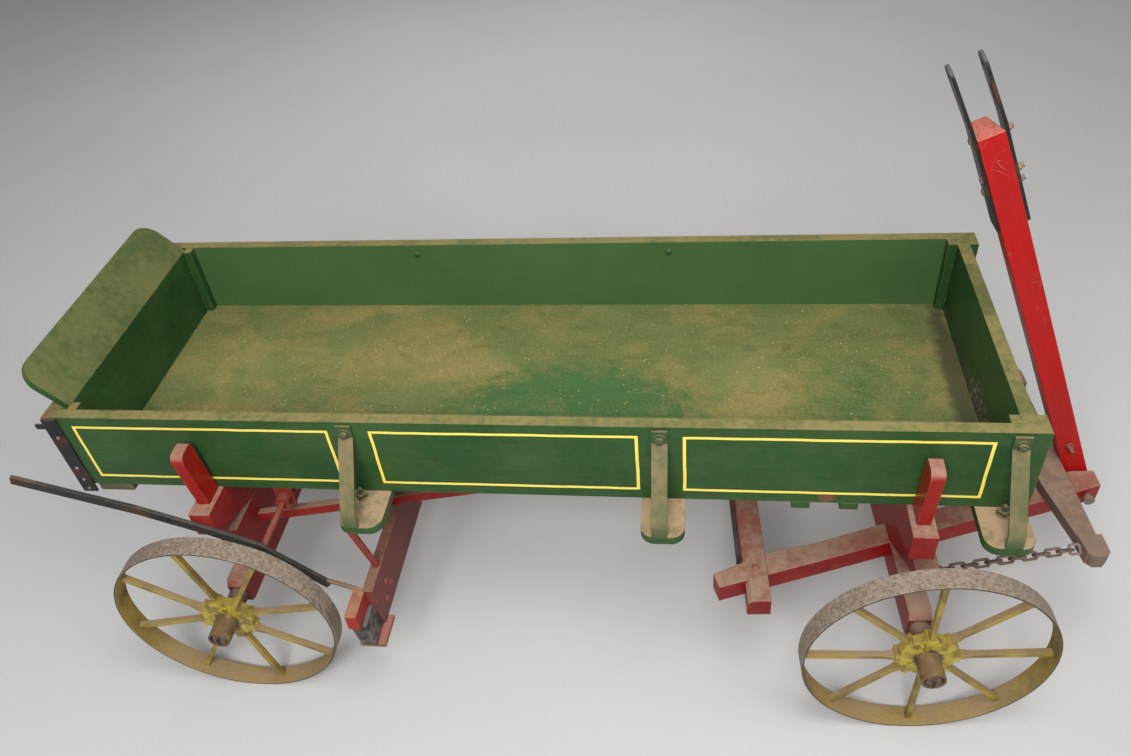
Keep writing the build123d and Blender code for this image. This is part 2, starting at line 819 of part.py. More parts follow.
def make_brake():
    """Rocker, lever, link, beam, blocks and hangers of the rear wheel brake."""
    rx = rear_axle_x + rocker_x
    rz = bed_z - rocker_drop
    near = -lever_y + lever_thickness / 2
    shaft = rod((rx, near, rz), (rx, -rocker_roller_half, rz), rocker_rod_d)
    roller = rod((rx, -rocker_roller_half, rz), (rx, rocker_roller_half, rz), rocker_roller_d)
    add("brake_rocker", shaft + roller)
    y = rocker_roller_half - rocker_hanger_inset
    half_w = rocker_hanger_width / 2
    plate = block(rx - half_w, rx + half_w, y, y + rocker_hanger_iron, rz - half_w, bed_z)
    plate -= rod((rx, 0, rz), (rx, rocker_roller_half, rz), rocker_roller_d + 2 * running)
    add("rocker_hangers", both_sides(plate))

    # The lever is one flat bar, bent at the rocker, its places taken from the rocker.
    path = [
        (-lever_grip_x, lever_grip_z),
        (-lever_crook_x, lever_crook_z),
        (-lever_neck_x, lever_neck_z),
        (-lever_heel_x, lever_heel_z),
        (lever_foot_x, -lever_foot_z),
    ]
    outline = bar_outline([(rx + x, rz + z - lever_bar / 2) for x, z in path], lever_bar)
    lever = along_y(outline, -lever_y - lever_thickness / 2, -lever_y + lever_thickness / 2)
    add("brake_lever", lever)

    # The beam crosses in front of the wheels, notched for the reach, under the rear hounds.
    bx = rear_axle_x + beam_x
    front = bx + beam_thickness
    top = bed_z - beam_top_drop
    low = top - beam_height
    end = beam_half_length
    side = [(bx, low), (front, low), (front - beam_lean, top), (bx - beam_lean, top)]
    beam = along_y(side, -end, end) - parts["reach"]
    add("brake_beam", beam)

    # At each end of the beam a wooden shoe and a rubber pad, which stands on a plate.
    shoe = block(bx - shoe_depth, bx, end - shoe_on_beam, end + shoe_past_beam, top - shoe_height, top)
    shoes = [piece - beam for piece in both_sides(shoe)]
    add("brake_shoes", shoes)
    x1 = bx + pad_front
    x0 = x1 - pad_thickness
    side = [(x0, top - pad_drop), (x1, top - pad_drop), (x1 + pad_slant, low), (x0 + pad_slant, low)]
    pad = along_y(side, end - pad_on_beam, end + pad_past_beam)
    add("brake_pads", [piece - beam for piece in both_sides(pad)])
    plate_y0 = end - plate_on_beam
    plate_y1 = end + plate_past_beam
    plate = block(bx - plate_back, front + plate_front, plate_y0, plate_y1, low - plate_thickness, low)
    add("brake_plates", both_sides(plate))

    # The link runs from the lever's inner face to the end of the right shoe.
    link_z = top - link_d
    lever_face = lever_thickness / 2 - lever_y
    shoe_end = (bx - shoe_depth / 2, shoe_on_beam - end, link_z)
    link = rod((rx + link_from_rocker, lever_face, link_z), shoe_end, link_d)
    add("brake_link", (link - lever - shoes[1]).solids().sort_by(SortBy.VOLUME)[-1])

    foot = (bx + beam_hanger_set, beam_hanger_foot_y, top)
    head = (bx, half_bed + sill_overhang - beam_hanger_top_inset, bed_z - sill_thickness)
    hanger = rod(foot, head, beam_hanger_d)
    between = block(bx - sill_width, front + sill_width, 0, 2 * end, top, bed_z - sill_thickness)
    hanger = hanger & between
    add("beam_hangers", both_sides(hanger))


make_box()
make_underframe()
make_rear_gear()
make_front_gear()
make_tongue()
make_wheels()
make_brake()

os.makedirs("parts", exist_ok=True)
for name, shape in parts.items():
    export_step(shape, "parts/" + name + ".step")

whole = Compound(children=[s for shape in parts.values() for s in shape.solids()]).bounding_box()
print("nodes", len(parts))
print("overall box", [round(v, 1) for v in (*whole.min, *whole.max)])
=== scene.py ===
import json
from math import atan2, cos, pi, radians, sin

import bmesh
import bpy
from mathutils import Matrix, Vector, noise


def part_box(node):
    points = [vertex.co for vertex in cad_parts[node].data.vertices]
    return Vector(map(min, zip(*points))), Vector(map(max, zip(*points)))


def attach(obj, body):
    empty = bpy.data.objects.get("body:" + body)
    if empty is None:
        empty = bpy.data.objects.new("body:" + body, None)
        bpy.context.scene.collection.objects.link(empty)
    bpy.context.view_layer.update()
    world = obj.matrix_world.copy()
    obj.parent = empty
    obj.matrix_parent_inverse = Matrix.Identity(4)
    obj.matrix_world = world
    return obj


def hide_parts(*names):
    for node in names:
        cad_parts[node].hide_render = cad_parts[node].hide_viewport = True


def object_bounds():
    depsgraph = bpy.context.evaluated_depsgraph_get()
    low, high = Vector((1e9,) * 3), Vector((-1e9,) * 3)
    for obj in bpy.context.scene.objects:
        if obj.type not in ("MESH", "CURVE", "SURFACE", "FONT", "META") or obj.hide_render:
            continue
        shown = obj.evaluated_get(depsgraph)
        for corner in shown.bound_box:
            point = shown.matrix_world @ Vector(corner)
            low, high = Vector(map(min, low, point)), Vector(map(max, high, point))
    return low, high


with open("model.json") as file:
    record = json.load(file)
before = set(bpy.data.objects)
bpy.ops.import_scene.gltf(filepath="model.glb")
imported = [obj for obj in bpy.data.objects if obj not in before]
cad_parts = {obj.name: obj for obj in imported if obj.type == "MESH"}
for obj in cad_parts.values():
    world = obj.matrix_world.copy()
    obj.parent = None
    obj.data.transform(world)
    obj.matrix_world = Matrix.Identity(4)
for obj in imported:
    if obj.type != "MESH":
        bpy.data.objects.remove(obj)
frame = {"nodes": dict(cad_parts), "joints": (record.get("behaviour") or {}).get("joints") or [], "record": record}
cad_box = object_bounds()
nodes = frame["nodes"]

# The green box: three floor boards, two sides, two ends with corner cleats and a flared board at the rear.
# Pine boards painted dark green by brush. The paint is still glossy on the upright faces, while olive dust
# lies on the floor and on every top edge, and the corners are rubbed down to the wood.

GREEN = (0.018, 0.066, 0.017, 1.0)
GREEN_FADED = (0.030, 0.088, 0.024, 1.0)
GREEN_DUSTY = (0.075, 0.125, 0.034, 1.0)
GREEN_WIPED = (0.055, 0.140, 0.045, 1.0)
OLIVE_DUST = (0.225, 0.190, 0.070, 1.0)
FLARE_DUST = (0.150, 0.150, 0.052, 1.0)
FLOOR_DUST = (0.205, 0.205, 0.075, 1.0)
FLOOR_TAN = (0.300, 0.235, 0.085, 1.0)
# A lighter green that stands in for light falling on the inner faces of the sides: painted light.
INSIDE_PAINTED_LIGHT = (0.068, 0.135, 0.048, 1.0)
PINE = (0.330, 0.210, 0.105, 1.0)
WORN_WOOD = (0.200, 0.105, 0.055, 1.0)
RUST_BROWN = (0.140, 0.065, 0.040, 1.0)
STAIN_DARK = (0.060, 0.055, 0.030, 1.0)
SCUFF_PALE = (0.230, 0.220, 0.180, 1.0)

# Turns that lay the grain along a board, and how far the grain is drawn out along it.
ALONG_X = (0.0, 0.0, 0.0)
ALONG_Y = (0.0, 0.0, pi / 2)
ALONG_Z = (0.0, pi / 2, 0.0)
GRAIN_STRETCH = (14.0, 1.0, 1.0)

PAINT_RELIEF = 0.0006
DUSTY_ROUGHNESS = 0.92

# Centres and half sizes of the spots that are wiped, stained, rusty or worn.
CLEAN_PATCH = (0.08, -0.09, 0.0)
CLEAN_PATCH_SIZE = (0.24, 0.13, 1.0)
THIN_PATCH = (0.66, -0.06, 0.0)
THIN_PATCH_SIZE = (0.12, 0.20, 1.0)
FOOT_STRIP = (0.855, 0.02, 0.0)
FOOT_STRIP_SIZE = (0.024, 0.28, 1.0)
FOOT_STAIN = (0.880, -0.130, 0.012)
FOOT_STAIN_SIZE = (0.05, 0.170, 0.040)
RUST_SPOT = (0.5665, -0.3035, 0.000)
RUST_SPOT_SIZE = (0.015, 0.02, 0.013)
WORN_CORNER = (-0.905, -0.292, 0.160)
WORN_CORNER_SIZE = (0.018, 0.03, 0.012)

# Scale, detail, distortion, low and high limit and share of each layer of dust on the floor.
FLOOR_LAYERS = (
    (3.6, 11.0, 0.5, 0.34, 0.66, 0.26),
    (13.0, 9.0, 1.4, 0.34, 0.66, 0.22),
    (150.0, 7.0, 0.0, 0.40, 0.64, 0.26),
)
EVEN_FILM = 0.27

# Cells to a metre, radius in cells, colour and strength of each kind of mark on the floor.
FLOOR_MARKS = (
    (6.5, 0.15, (0.060, 0.055, 0.030, 1.0), 0.55),
    (17.0, 0.13, (0.330, 0.225, 0.075, 1.0), 0.60),
    (48.0, 0.13, (0.085, 0.085, 0.040, 1.0), 0.60),
    (95.0, 0.17, (0.620, 0.500, 0.210, 1.0), 0.90),
)

WELD_REACH = 0.00001
SHARP_FROM = radians(32)


def shader_node(tree, kind, inputs=None, **settings):
    """A node of a material or group. An input takes a value or the socket that feeds it."""
    made = tree.nodes.new(kind)
    for setting, value in settings.items():
        setattr(made, setting, value)
    for socket, value in (inputs or {}).items():
        if isinstance(value, bpy.types.NodeSocket):
            tree.links.new(value, made.inputs[socket])
        else:
            made.inputs[socket].default_value = value
    return made


def maths(tree, operation, a, b=0.0, clamp=False):
    """One sum on two values."""
    return shader_node(tree, "ShaderNodeMath", {0: a, 1: b}, operation=operation, use_clamp=clamp).outputs[0]


def plus(tree, a, b, clamp=False):
    """Two values added."""
    return maths(tree, "ADD", a, b, clamp)


def minus(tree, a, b, clamp=False):
    """The second value taken from the first."""
    return maths(tree, "SUBTRACT", a, b, clamp)


def times(tree, a, b, clamp=False):
    """Two values multiplied."""
    return maths(tree, "MULTIPLY", a, b, clamp)


def larger(tree, a, b):
    """The larger of two values."""
    return maths(tree, "MAXIMUM", a, b)


def vector_maths(tree, operation, a, b=(0.0, 0.0, 0.0)):
    """One sum on two vectors."""
    return shader_node(tree, "ShaderNodeVectorMath", {0: a, 1: b}, operation=operation)


def ramp(tree, value, low, high):
    """0 up to low, 1 from high, and smooth between them."""
    limits = {"Value": value, "From Min": low, "From Max": high}
    return shader_node(tree, "ShaderNodeMapRange", limits, interpolation_type="SMOOTHSTEP").outputs[0]


def mix_colour(tree, mask, under, over):
    """The under colour where the mask is 0 and the over colour where it is 1."""
    return shader_node(tree, "ShaderNodeMix", {0: mask, 6: under, 7: over}, data_type="RGBA").outputs[2]


def darker(colour, share):
    """A colour at a share of its strength."""
    return tuple(share * part for part in colour[:3]) + (1.0,)


def mottle(tree, vector, scale, detail=4.0, distortion=0.0):
    """Cloudy noise from 0 to 1."""
    sizes = {"Vector": vector, "Scale": scale, "Detail": detail, "Distortion": distortion}
    return shader_node(tree, "ShaderNodeTexNoise", sizes).outputs[0]


def crease(tree, vector, scale, detail=4.0, distortion=0.0):
    """0 along winding lines, and more away from them."""
    return maths(tree, "ABSOLUTE", minus(tree, mottle(tree, vector, scale, detail, distortion), 0.5))


def laid_out(tree, vector, centre=(0.0, 0.0, 0.0), turn=(0.0, 0.0, 0.0), scale=(1.0, 1.0, 1.0)):
    """Coordinates that are centred, turned and stretched."""
    laid = {"Vector": vector, "Location": centre, "Rotation": turn, "Scale": scale}
    return shader_node(tree, "ShaderNodeMapping", laid, vector_type="TEXTURE").outputs[0]


def new_group(name, values, output):
    """An empty shader group: a Vector and the named values go in, and one value comes out."""
    tree = bpy.data.node_groups.new(name, "ShaderNodeTree")
    tree.interface.new_socket("Vector", in_out="INPUT", socket_type="NodeSocketVector")
    for label in values:
        tree.interface.new_socket(label, in_out="INPUT", socket_type="NodeSocketFloat")
    tree.interface.new_socket(output, in_out="OUTPUT", socket_type="NodeSocketFloat")
    return tree, tree.nodes.new("NodeGroupInput").outputs, tree.nodes.new("NodeGroupOutput").inputs[output]


def make_dust_group():
    """Dust that has settled on faces that look up, thicker in patches and with loose specks."""
    tree, given, result = new_group("settled dust", ["Amount"], "Mask")
    normal = shader_node(tree, "ShaderNodeTexCoord").outputs["Normal"]
    up = ramp(tree, shader_node(tree, "ShaderNodeSeparateXYZ", {0: normal}).outputs["Z"], 0.10, 0.80)
    broad = mottle(tree, given["Vector"], scale=11.0, detail=10.0, distortion=0.4)
    close = mottle(tree, given["Vector"], scale=70.0, detail=7.0)
    fine = mottle(tree, given["Vector"], scale=300.0)
    patches = ramp(tree, plus(tree, times(tree, broad, 0.55), times(tree, close, 0.45)), 0.38, 0.60)
    layer = times(tree, up, plus(tree, times(tree, patches, 0.45), 0.50))
    film = times(tree, patches, 0.06)
    grit = plus(tree, times(tree, minus(tree, fine, 0.5), 0.70), 1.0)
    speckled = times(tree, plus(tree, layer, film), grit)
    tree.links.new(times(tree, speckled, given["Amount"], clamp=True), result)
    return tree


def make_edge_group():
    """Corners and arrises where the finish is rubbed off, in broken stretches."""
    tree, given, result = new_group("rubbed edges", ["Width", "Amount"], "Mask")
    rounded = shader_node(tree, "ShaderNodeBevel", {"Radius": given["Width"]}, samples=4).outputs[0]
    flat = shader_node(tree, "ShaderNodeNewGeometry").outputs["True Normal"]
    facing = vector_maths(tree, "DOT_PRODUCT", rounded, flat).outputs["Value"]
    corner = ramp(tree, minus(tree, 1.0, facing), 0.010, 0.120)
    broken = ramp(tree, mottle(tree, given["Vector"], scale=38.0, detail=6.0), 0.46, 0.60)
    rubbed = times(tree, corner, broken)
    tree.links.new(times(tree, rubbed, given["Amount"], clamp=True), result)
    return tree


def make_grain_group():
    """Long wood grain, from coordinates that are already stretched along the board."""
    tree, given, result = new_group("wood grain", [], "Grain")
    fibres = mottle(tree, given["Vector"], scale=170.0, detail=5.0, distortion=0.4)
    bands = mottle(tree, given["Vector"], scale=34.0, detail=3.0, distortion=1.2)
    tree.links.new(plus(tree, times(tree, fibres, 0.55), times(tree, bands, 0.45)), result)
    return tree


def make_scratch_group():
    """Fine scratches that run a little way in several directions."""
    tree, given, result = new_group("scratches", ["Amount"], "Mask")
    masks = []
    for turn, stretch in ((0.5, 9.0), (1.9, 6.0)):
        vector = laid_out(tree, given["Vector"], turn=(turn, turn, turn), scale=(stretch, 1.0, 1.0))
        line = crease(tree, vector, scale=26.0, detail=1.0)
        masks.append(minus(tree, 1.0, ramp(tree, line, 0.0, 0.004)))
    here = ramp(tree, mottle(tree, given["Vector"], scale=14.0, detail=2.0), 0.52, 0.66)
    drawn = times(tree, larger(tree, masks[0], masks[1]), here)
    tree.links.new(times(tree, drawn, given["Amount"], clamp=True), result)
    return tree


settled_dust = make_dust_group()
rubbed_edges = make_edge_group()
wood_grain = make_grain_group()
scratches = make_scratch_group()


def grouped(tree, group, **inputs):
    """What a shared group puts out, placed in a material with its own values."""
    return shader_node(tree, "ShaderNodeGroup", inputs, node_tree=group).outputs[0]


def board_grain(tree, place, along):
    """Grain that runs along a board."""
    return grouped(tree, wood_grain, Vector=laid_out(tree, place, turn=along, scale=GRAIN_STRETCH))


def new_material(name, **shader):
    """A material, its tree, its plain shader with constant sockets set, and its place on the piece."""
    material = bpy.data.materials.new(name)
    material.use_nodes = True
    tree = material.node_tree
    surface = tree.nodes["Principled BSDF"]
    for socket, value in shader.items():
        surface.inputs[socket.replace("_", " ")].default_value = value
    place = shader_node(tree, "ShaderNodeTexCoord").outputs["Object"]
    return material, tree, surface, place


def finish_surface(tree, surface, colour, rough, height, depth):
    """Joins colour, roughness and relief to the shader."""
    tree.links.new(colour, surface.inputs["Base Color"])
    tree.links.new(rough, surface.inputs["Roughness"])
    relief = shader_node(tree, "ShaderNodeBump", {"Strength": 0.6, "Distance": depth, "Height": height})
    tree.links.new(relief.outputs[0], surface.inputs["Normal"])


def reopen(material):
    """A finished material's tree, its colour socket, the colour that feeds it, and the coordinates."""
    tree = material.node_tree
    socket = tree.nodes["Principled BSDF"].inputs["Base Color"]
    return tree, socket, socket.links[0].from_socket, shader_node(tree, "ShaderNodeTexCoord").outputs


def painted_wood(name, paint, faded, dust, along, dust_amount=1.0, wear=0.6, gloss=0.36, under=PINE,
                 marks=0.3):
    """Brush paint on timber: faded patches, grain, rubbed corners, scratches and dust on top."""
    material, tree, surface, place = new_material(name, Specular_IOR_Level=0.15)
    grain = board_grain(tree, place, along)
    age = ramp(tree, mottle(tree, place, scale=5.0, detail=6.0, distortion=0.3), 0.35, 0.75)
    colour = mix_colour(tree, age, paint, faded)
    dark_grain = times(tree, ramp(tree, grain, 0.62, 0.42), 0.22)
    colour = mix_colour(tree, dark_grain, colour, darker(paint, 0.45))
    rubbed = grouped(tree, rubbed_edges, Vector=place, Width=0.0022, Amount=wear)
    bare = larger(tree, rubbed, grouped(tree, scratches, Vector=place, Amount=marks))
    colour = mix_colour(tree, bare, colour, under)
    dirt = grouped(tree, settled_dust, Vector=place, Amount=dust_amount)
    colour = mix_colour(tree, dirt, colour, dust)
    dull = times(tree, larger(tree, dirt, bare), DUSTY_ROUGHNESS - gloss)
    rough = plus(tree, gloss, dull, clamp=True)
    relief = minus(tree, plus(tree, grain, times(tree, dirt, 0.8)), times(tree, bare, 1.2))
    finish_surface(tree, surface, colour, rough, relief, PAINT_RELIEF)
    return material


def dress(names, material, edge=0.0010, segments=2):
    """Gives CAD nodes their finish and takes the sharpness off their edges."""
    for name in names:
        piece = nodes[name]
        for place in piece.material_slots:
            place.material = material
        weld = piece.modifiers.new("one skin", "WELD")
        weld.merge_threshold = WELD_REACH
        eased = piece.modifiers.new("eased edges", "BEVEL")
        eased.width = edge
        eased.segments = segments
        eased.limit_method = "ANGLE"
        eased.angle_limit = SHARP_FROM
        eased.use_clamp_overlap = True
        piece.modifiers.new("flat faces", "WEIGHTED_NORMAL")


def round_spot(tree, place, centre, size, soft=0.35):
    """1 inside a soft-edged oval with ragged edges, 0 outside it."""
    local = laid_out(tree, place, centre=centre, scale=size)
    ragged = times(tree, minus(tree, mottle(tree, place, scale=30.0, detail=6.0), 0.5), 1.1)
    distance = plus(tree, vector_maths(tree, "LENGTH", local).outputs["Value"], ragged)
    return ramp(tree, distance, 1.0 + soft, 1.0 - soft)


def floor_marks(tree, place, colour):
    """Dark stains, tan blots and pale specks in scattered spots, laid over a colour."""
    for scale, radius, tone, share in FLOOR_MARKS:
        cells = {"Vector": place, "Scale": scale, "Randomness": 1.0}
        far = shader_node(tree, "ShaderNodeTexVoronoi", cells).outputs["Distance"]
        ragged = plus(tree, far, times(tree, mottle(tree, place, scale * 9.0, detail=5.0), 0.14))
        here = ramp(tree, mottle(tree, place, scale * 0.32 + 1.0), 0.50, 0.60)
        mark = times(tree, ramp(tree, ragged, radius + 0.05, radius), here)
        colour = mix_colour(tree, times(tree, mark, share), colour, tone)
    return colour


def floor_finish():
    """Green boards under a thin coat of dust, wiped clean in one place and stained along the front board."""
    material, tree, surface, place = new_material("dusty floor boards", Specular_IOR_Level=0.12)
    grain = board_grain(tree, place, ALONG_X)
    wiped = round_spot(tree, place, CLEAN_PATCH, CLEAN_PATCH_SIZE)
    thinner = round_spot(tree, place, THIN_PATCH, THIN_PATCH_SIZE, soft=0.7)
    wiped = larger(tree, wiped, times(tree, thinner, 0.45))
    cover = EVEN_FILM
    for scale, detail, distortion, low, high, share in FLOOR_LAYERS:
        layer = ramp(tree, mottle(tree, place, scale, detail, distortion), low, high)
        cover = plus(tree, cover, times(tree, layer, share))
    cover = minus(tree, cover, times(tree, wiped, 0.60), clamp=True)
    under = mix_colour(tree, ramp(tree, grain, 0.66, 0.40), GREEN_FADED, GREEN_DUSTY)
    under = mix_colour(tree, times(tree, wiped, 0.7), under, GREEN_WIPED)
    tan = ramp(tree, mottle(tree, place, scale=6.0, detail=10.0, distortion=0.8), 0.42, 0.62)
    colour = mix_colour(tree, cover, under, mix_colour(tree, tan, FLOOR_DUST, FLOOR_TAN))
    colour = floor_marks(tree, place, colour)
    strip = times(tree, round_spot(tree, place, FOOT_STRIP, FOOT_STRIP_SIZE, soft=0.5), 0.85)
    colour = mix_colour(tree, strip, colour, STAIN_DARK)
    rough = plus(tree, 0.58, times(tree, cover, 0.35), clamp=True)
    relief = plus(tree, grain, times(tree, cover, 0.8))
    finish_surface(tree, surface, colour, rough, relief, PAINT_RELIEF)
    return material


def side_finish():
    """Glossy green side boards with painted light inside, and bare at two spots of the near one."""
    material = painted_wood("green paint on the sides", GREEN, GREEN_FADED, OLIVE_DUST, ALONG_X,
                            dust_amount=1.05, wear=0.45, gloss=0.30, marks=0.10)
    tree, socket, below, at = reopen(material)
    place = at["Object"]
    across = shader_node(tree, "ShaderNodeSeparateXYZ", {0: place}).outputs["Y"]
    facing = shader_node(tree, "ShaderNodeSeparateXYZ", {0: at["Normal"]}).outputs["Y"]
    # Painted light: the faces that look into the box are painted a lighter green, in mottled patches.
    inside = ramp(tree, times(tree, across, facing), -0.05, -0.20)
    painted_light_patches = plus(tree, 0.45, times(tree, mottle(tree, place, scale=6.0, detail=9.0), 0.5))
    colour = mix_colour(tree, times(tree, inside, painted_light_patches), below, INSIDE_PAINTED_LIGHT)
    spot = round_spot(tree, place, RUST_SPOT, RUST_SPOT_SIZE, soft=0.25)
    colour = mix_colour(tree, spot, colour, RUST_BROWN)
    corner = round_spot(tree, place, WORN_CORNER, WORN_CORNER_SIZE, soft=0.4)
    tree.links.new(mix_colour(tree, corner, colour, WORN_WOOD), socket)
    return material


def cross_board_paint(name):
    """Green paint on a board that lies across the box."""
    return painted_wood(name, GREEN, GREEN_FADED, OLIVE_DUST, ALONG_Y, dust_amount=0.95, gloss=0.34)


def front_finish():
    """Green paint, stained and scuffed to grey along the foot of the board."""
    material = cross_board_paint("green paint on the front board")
    tree, socket, below, at = reopen(material)
    scuffs = ramp(tree, mottle(tree, at["Object"], scale=120.0, detail=8.0, distortion=1.0), 0.50, 0.62)
    tone = mix_colour(tree, scuffs, STAIN_DARK, SCUFF_PALE)
    foot = round_spot(tree, at["Object"], FOOT_STAIN, FOOT_STAIN_SIZE, soft=0.5)
    tree.links.new(mix_colour(tree, foot, below, tone), socket)
    return material


green_flare = painted_wood("green paint on the flare", GREEN, GREEN_FADED, FLARE_DUST, ALONG_Y,
                           dust_amount=0.90, gloss=0.40, marks=0.6)
green_upright = painted_wood("green paint on cleats", GREEN, GREEN_FADED, OLIVE_DUST, ALONG_Z, wear=0.7)
dress(["side_board_left", "side_board_right"], side_finish())
dress(["floor_boards"], floor_finish())
dress(["front_board"], front_finish())
dress(["rear_board"], cross_board_paint("green paint on cross boards"))
dress(["flare_board"], green_flare)
dress(["front_cleats", "rear_cleats"], green_upright)


# Timbers under the box: three rounded cross sills and two battens in green, and a bare sill at the rear.
# Sawn oak with brush paint. The sills stand out past the sides, and pinkish dust lies on them.

PINK_DUST = (0.385, 0.270, 0.160, 1.0)
WEATHERED = (0.155, 0.120, 0.075, 1.0)
GREEN_REST = (0.060, 0.100, 0.040, 1.0)

sill_green = painted_wood("green paint on sills", GREEN, GREEN_FADED, PINK_DUST, ALONG_Y,
                          dust_amount=1.15, wear=0.8, gloss=0.42)
end_wood = painted_wood("weathered end sill", WEATHERED, GREEN_REST, OLIVE_DUST, ALONG_Y,
                        wear=0.8, gloss=0.75)
dress(["cross_sills", "floor_battens"], sill_green, edge=0.0014)
dress(["end_sill"], end_wood, edge=0.0016)


# Pinstripes: one yellow frame in each of the three bays on both sides of the box.
# Brush-painted with a lining brush, so the lines wander by a fraction of a millimetre.

STRIPE_YELLOW = (0.900, 0.720, 0.120, 1.0)
STRIPE_THIN = (0.360, 0.330, 0.080, 1.0)
STRIPE_WIDTH = 0.0080
STRIPE_THICKNESS = 0.00025
STRIPE_LOW = 0.009
STRIPE_HIGH = 0.149
STRIPE_BAYS = ((-0.860, -0.344), (-0.266, 0.230), (0.309, 0.831))
STRIPE_WANDER = 0.0009
STRIPE_CUTS = 30
WAVES_PER_METRE = 24.0
OTHER_WAVE = Vector((7.0, 3.0, 5.0))
OUT = {"left": 1.0, "right": -1.0}


def keep(name, mesh, material, body):
    """Turns a finished bmesh into a piece that rides on a body."""
    bmesh.ops.recalc_face_normals(mesh, faces=mesh.faces[:])
    data = bpy.data.meshes.new(name)
    mesh.to_mesh(data)
    mesh.free()
    data.materials.append(material)
    piece = bpy.data.objects.new(name, data)
    bpy.context.scene.collection.objects.link(piece)
    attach(piece, body)
    return piece


def stripe_paint():
    """Yellow lining paint, thin in places, with a film of dust."""
    material, tree, surface, place = new_material("yellow lining")
    thin = ramp(tree, mottle(tree, place, scale=60.0, detail=5.0), 0.55, 0.85)
    colour = mix_colour(tree, times(tree, thin, 0.6), STRIPE_YELLOW, STRIPE_THIN)
    dirt = grouped(tree, settled_dust, Vector=place, Amount=0.6)
    colour = mix_colour(tree, dirt, colour, OLIVE_DUST)
    rough = plus(tree, 0.40, times(tree, thin, 0.3))
    finish_surface(tree, surface, colour, rough, thin, 0.0002)
    return material


def board_faces(side):
    """Where the outer and the inner face of a side board lie across the box."""
    low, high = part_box("side_board_" + side)
    return (high.y, low.y) if side == "left" else (low.y, high.y)


def lay_stripes(side):
    """The three frames of one side of the box, laid on its face."""
    face = board_faces(side)[0] + OUT[side] * STRIPE_THICKNESS
    stand = Matrix.Rotation(pi / 2, 4, "X")
    frames = bmesh.new()
    for start, end in STRIPE_BAYS:
        middle = ((start + end) / 2, face, (STRIPE_LOW + STRIPE_HIGH) / 2)
        size = Matrix.Diagonal(((end - start) / 2, (STRIPE_HIGH - STRIPE_LOW) / 2, 1.0, 1.0))
        made = bmesh.ops.create_grid(frames, x_segments=1, y_segments=1, size=1.0,
                                     matrix=Matrix.Translation(middle) @ stand @ size)
        sheet = made["verts"][0].link_faces[0]
        sheet.normal_update()
        bmesh.ops.inset_region(frames, faces=[sheet], thickness=STRIPE_WIDTH, use_boundary=True)
        bmesh.ops.delete(frames, geom=[sheet], context="FACES_ONLY")
    long_edges = [edge for edge in frames.edges if edge.calc_length() > 3 * STRIPE_WIDTH]
    bmesh.ops.subdivide_edges(frames, edges=long_edges, cuts=STRIPE_CUTS, use_grid_fill=True)
    for corner in frames.verts:
        corner.co.x += STRIPE_WANDER * noise.noise(corner.co * WAVES_PER_METRE)
        corner.co.z += STRIPE_WANDER * noise.noise(corner.co * WAVES_PER_METRE + OTHER_WAVE)
    made = bmesh.ops.extrude_face_region(frames, geom=frames.faces[:])
    back = [part for part in made["geom"] if isinstance(part, bmesh.types.BMVert)]
    bmesh.ops.translate(frames, vec=(0.0, -OUT[side] * STRIPE_THICKNESS * 0.9, 0.0), verts=back)
    keep("pinstripes_" + side, frames, lining, "wagon")


lining = stripe_paint()
for side in OUT:
    lay_stripes(side)


# Side braces and end straps: flat bar bent by hand and bolted near its top, painted green with the box,
# and black straps over the rear ends. Dust has dulled them, and rust shows at their arrises.

GREEN_IRON = (0.038, 0.075, 0.028, 1.0)
GREEN_IRON_WORN = (0.120, 0.100, 0.050, 1.0)
GREEN_IRON_DUST = (0.215, 0.165, 0.078, 1.0)
GREEN_HEAD = (0.026, 0.070, 0.022, 1.0)
BRIGHT_IRON = (0.300, 0.270, 0.240, 1.0)
BLACK = (0.012, 0.012, 0.013, 1.0)
RUST = (0.135, 0.060, 0.028, 1.0)
GREY_DUST = (0.200, 0.180, 0.155, 1.0)
IRON_RELIEF = 0.0004

UP = Vector((0.0, 0.0, 1.0))
BRACE_IRON = 0.005
BRACE_CENTRES = (-0.310, 0.268, 0.870)
THROUGH_BOLTS = (-0.310, 0.268)
BOLT_FROM_FLOOR = 0.146
SILL_BOLT_OUT = 0.016
STRAP_RIVET_X = -0.899
STRAP_RIVETS = (0.120, 0.035, 0.002, -0.024)

# Radius and thickness of each washer, and width over the flats and height of each nut.
BRACE_WASHER = (0.0115, 0.0016)
BRACE_NUT = (0.0145, 0.0065)
SILL_WASHER = (0.0125, 0.0020)
SILL_NUT = (0.0170, 0.0090)

# Half profiles of heads and bolt ends, as radius and height.
DOMED_HEAD = (
    (0.0, 0.0046),
    (0.0035, 0.0042),
    (0.0064, 0.0028),
    (0.0078, 0.0008),
    (0.0078, -0.0004),
    (0.0, -0.0004),
)
STUD_END = ((0.0, 0.0130), (0.0040, 0.0125), (0.0048, 0.0110), (0.0048, 0.0), (0.0, 0.0))
BRACE_BOLT_END = ((0.0, 0.0105), (0.0030, 0.0098), (0.0036, 0.0060), (0.0, 0.0060))
RIVET_HEAD = tuple((0.52 * radius, 0.60 * height) for radius, height in DOMED_HEAD)


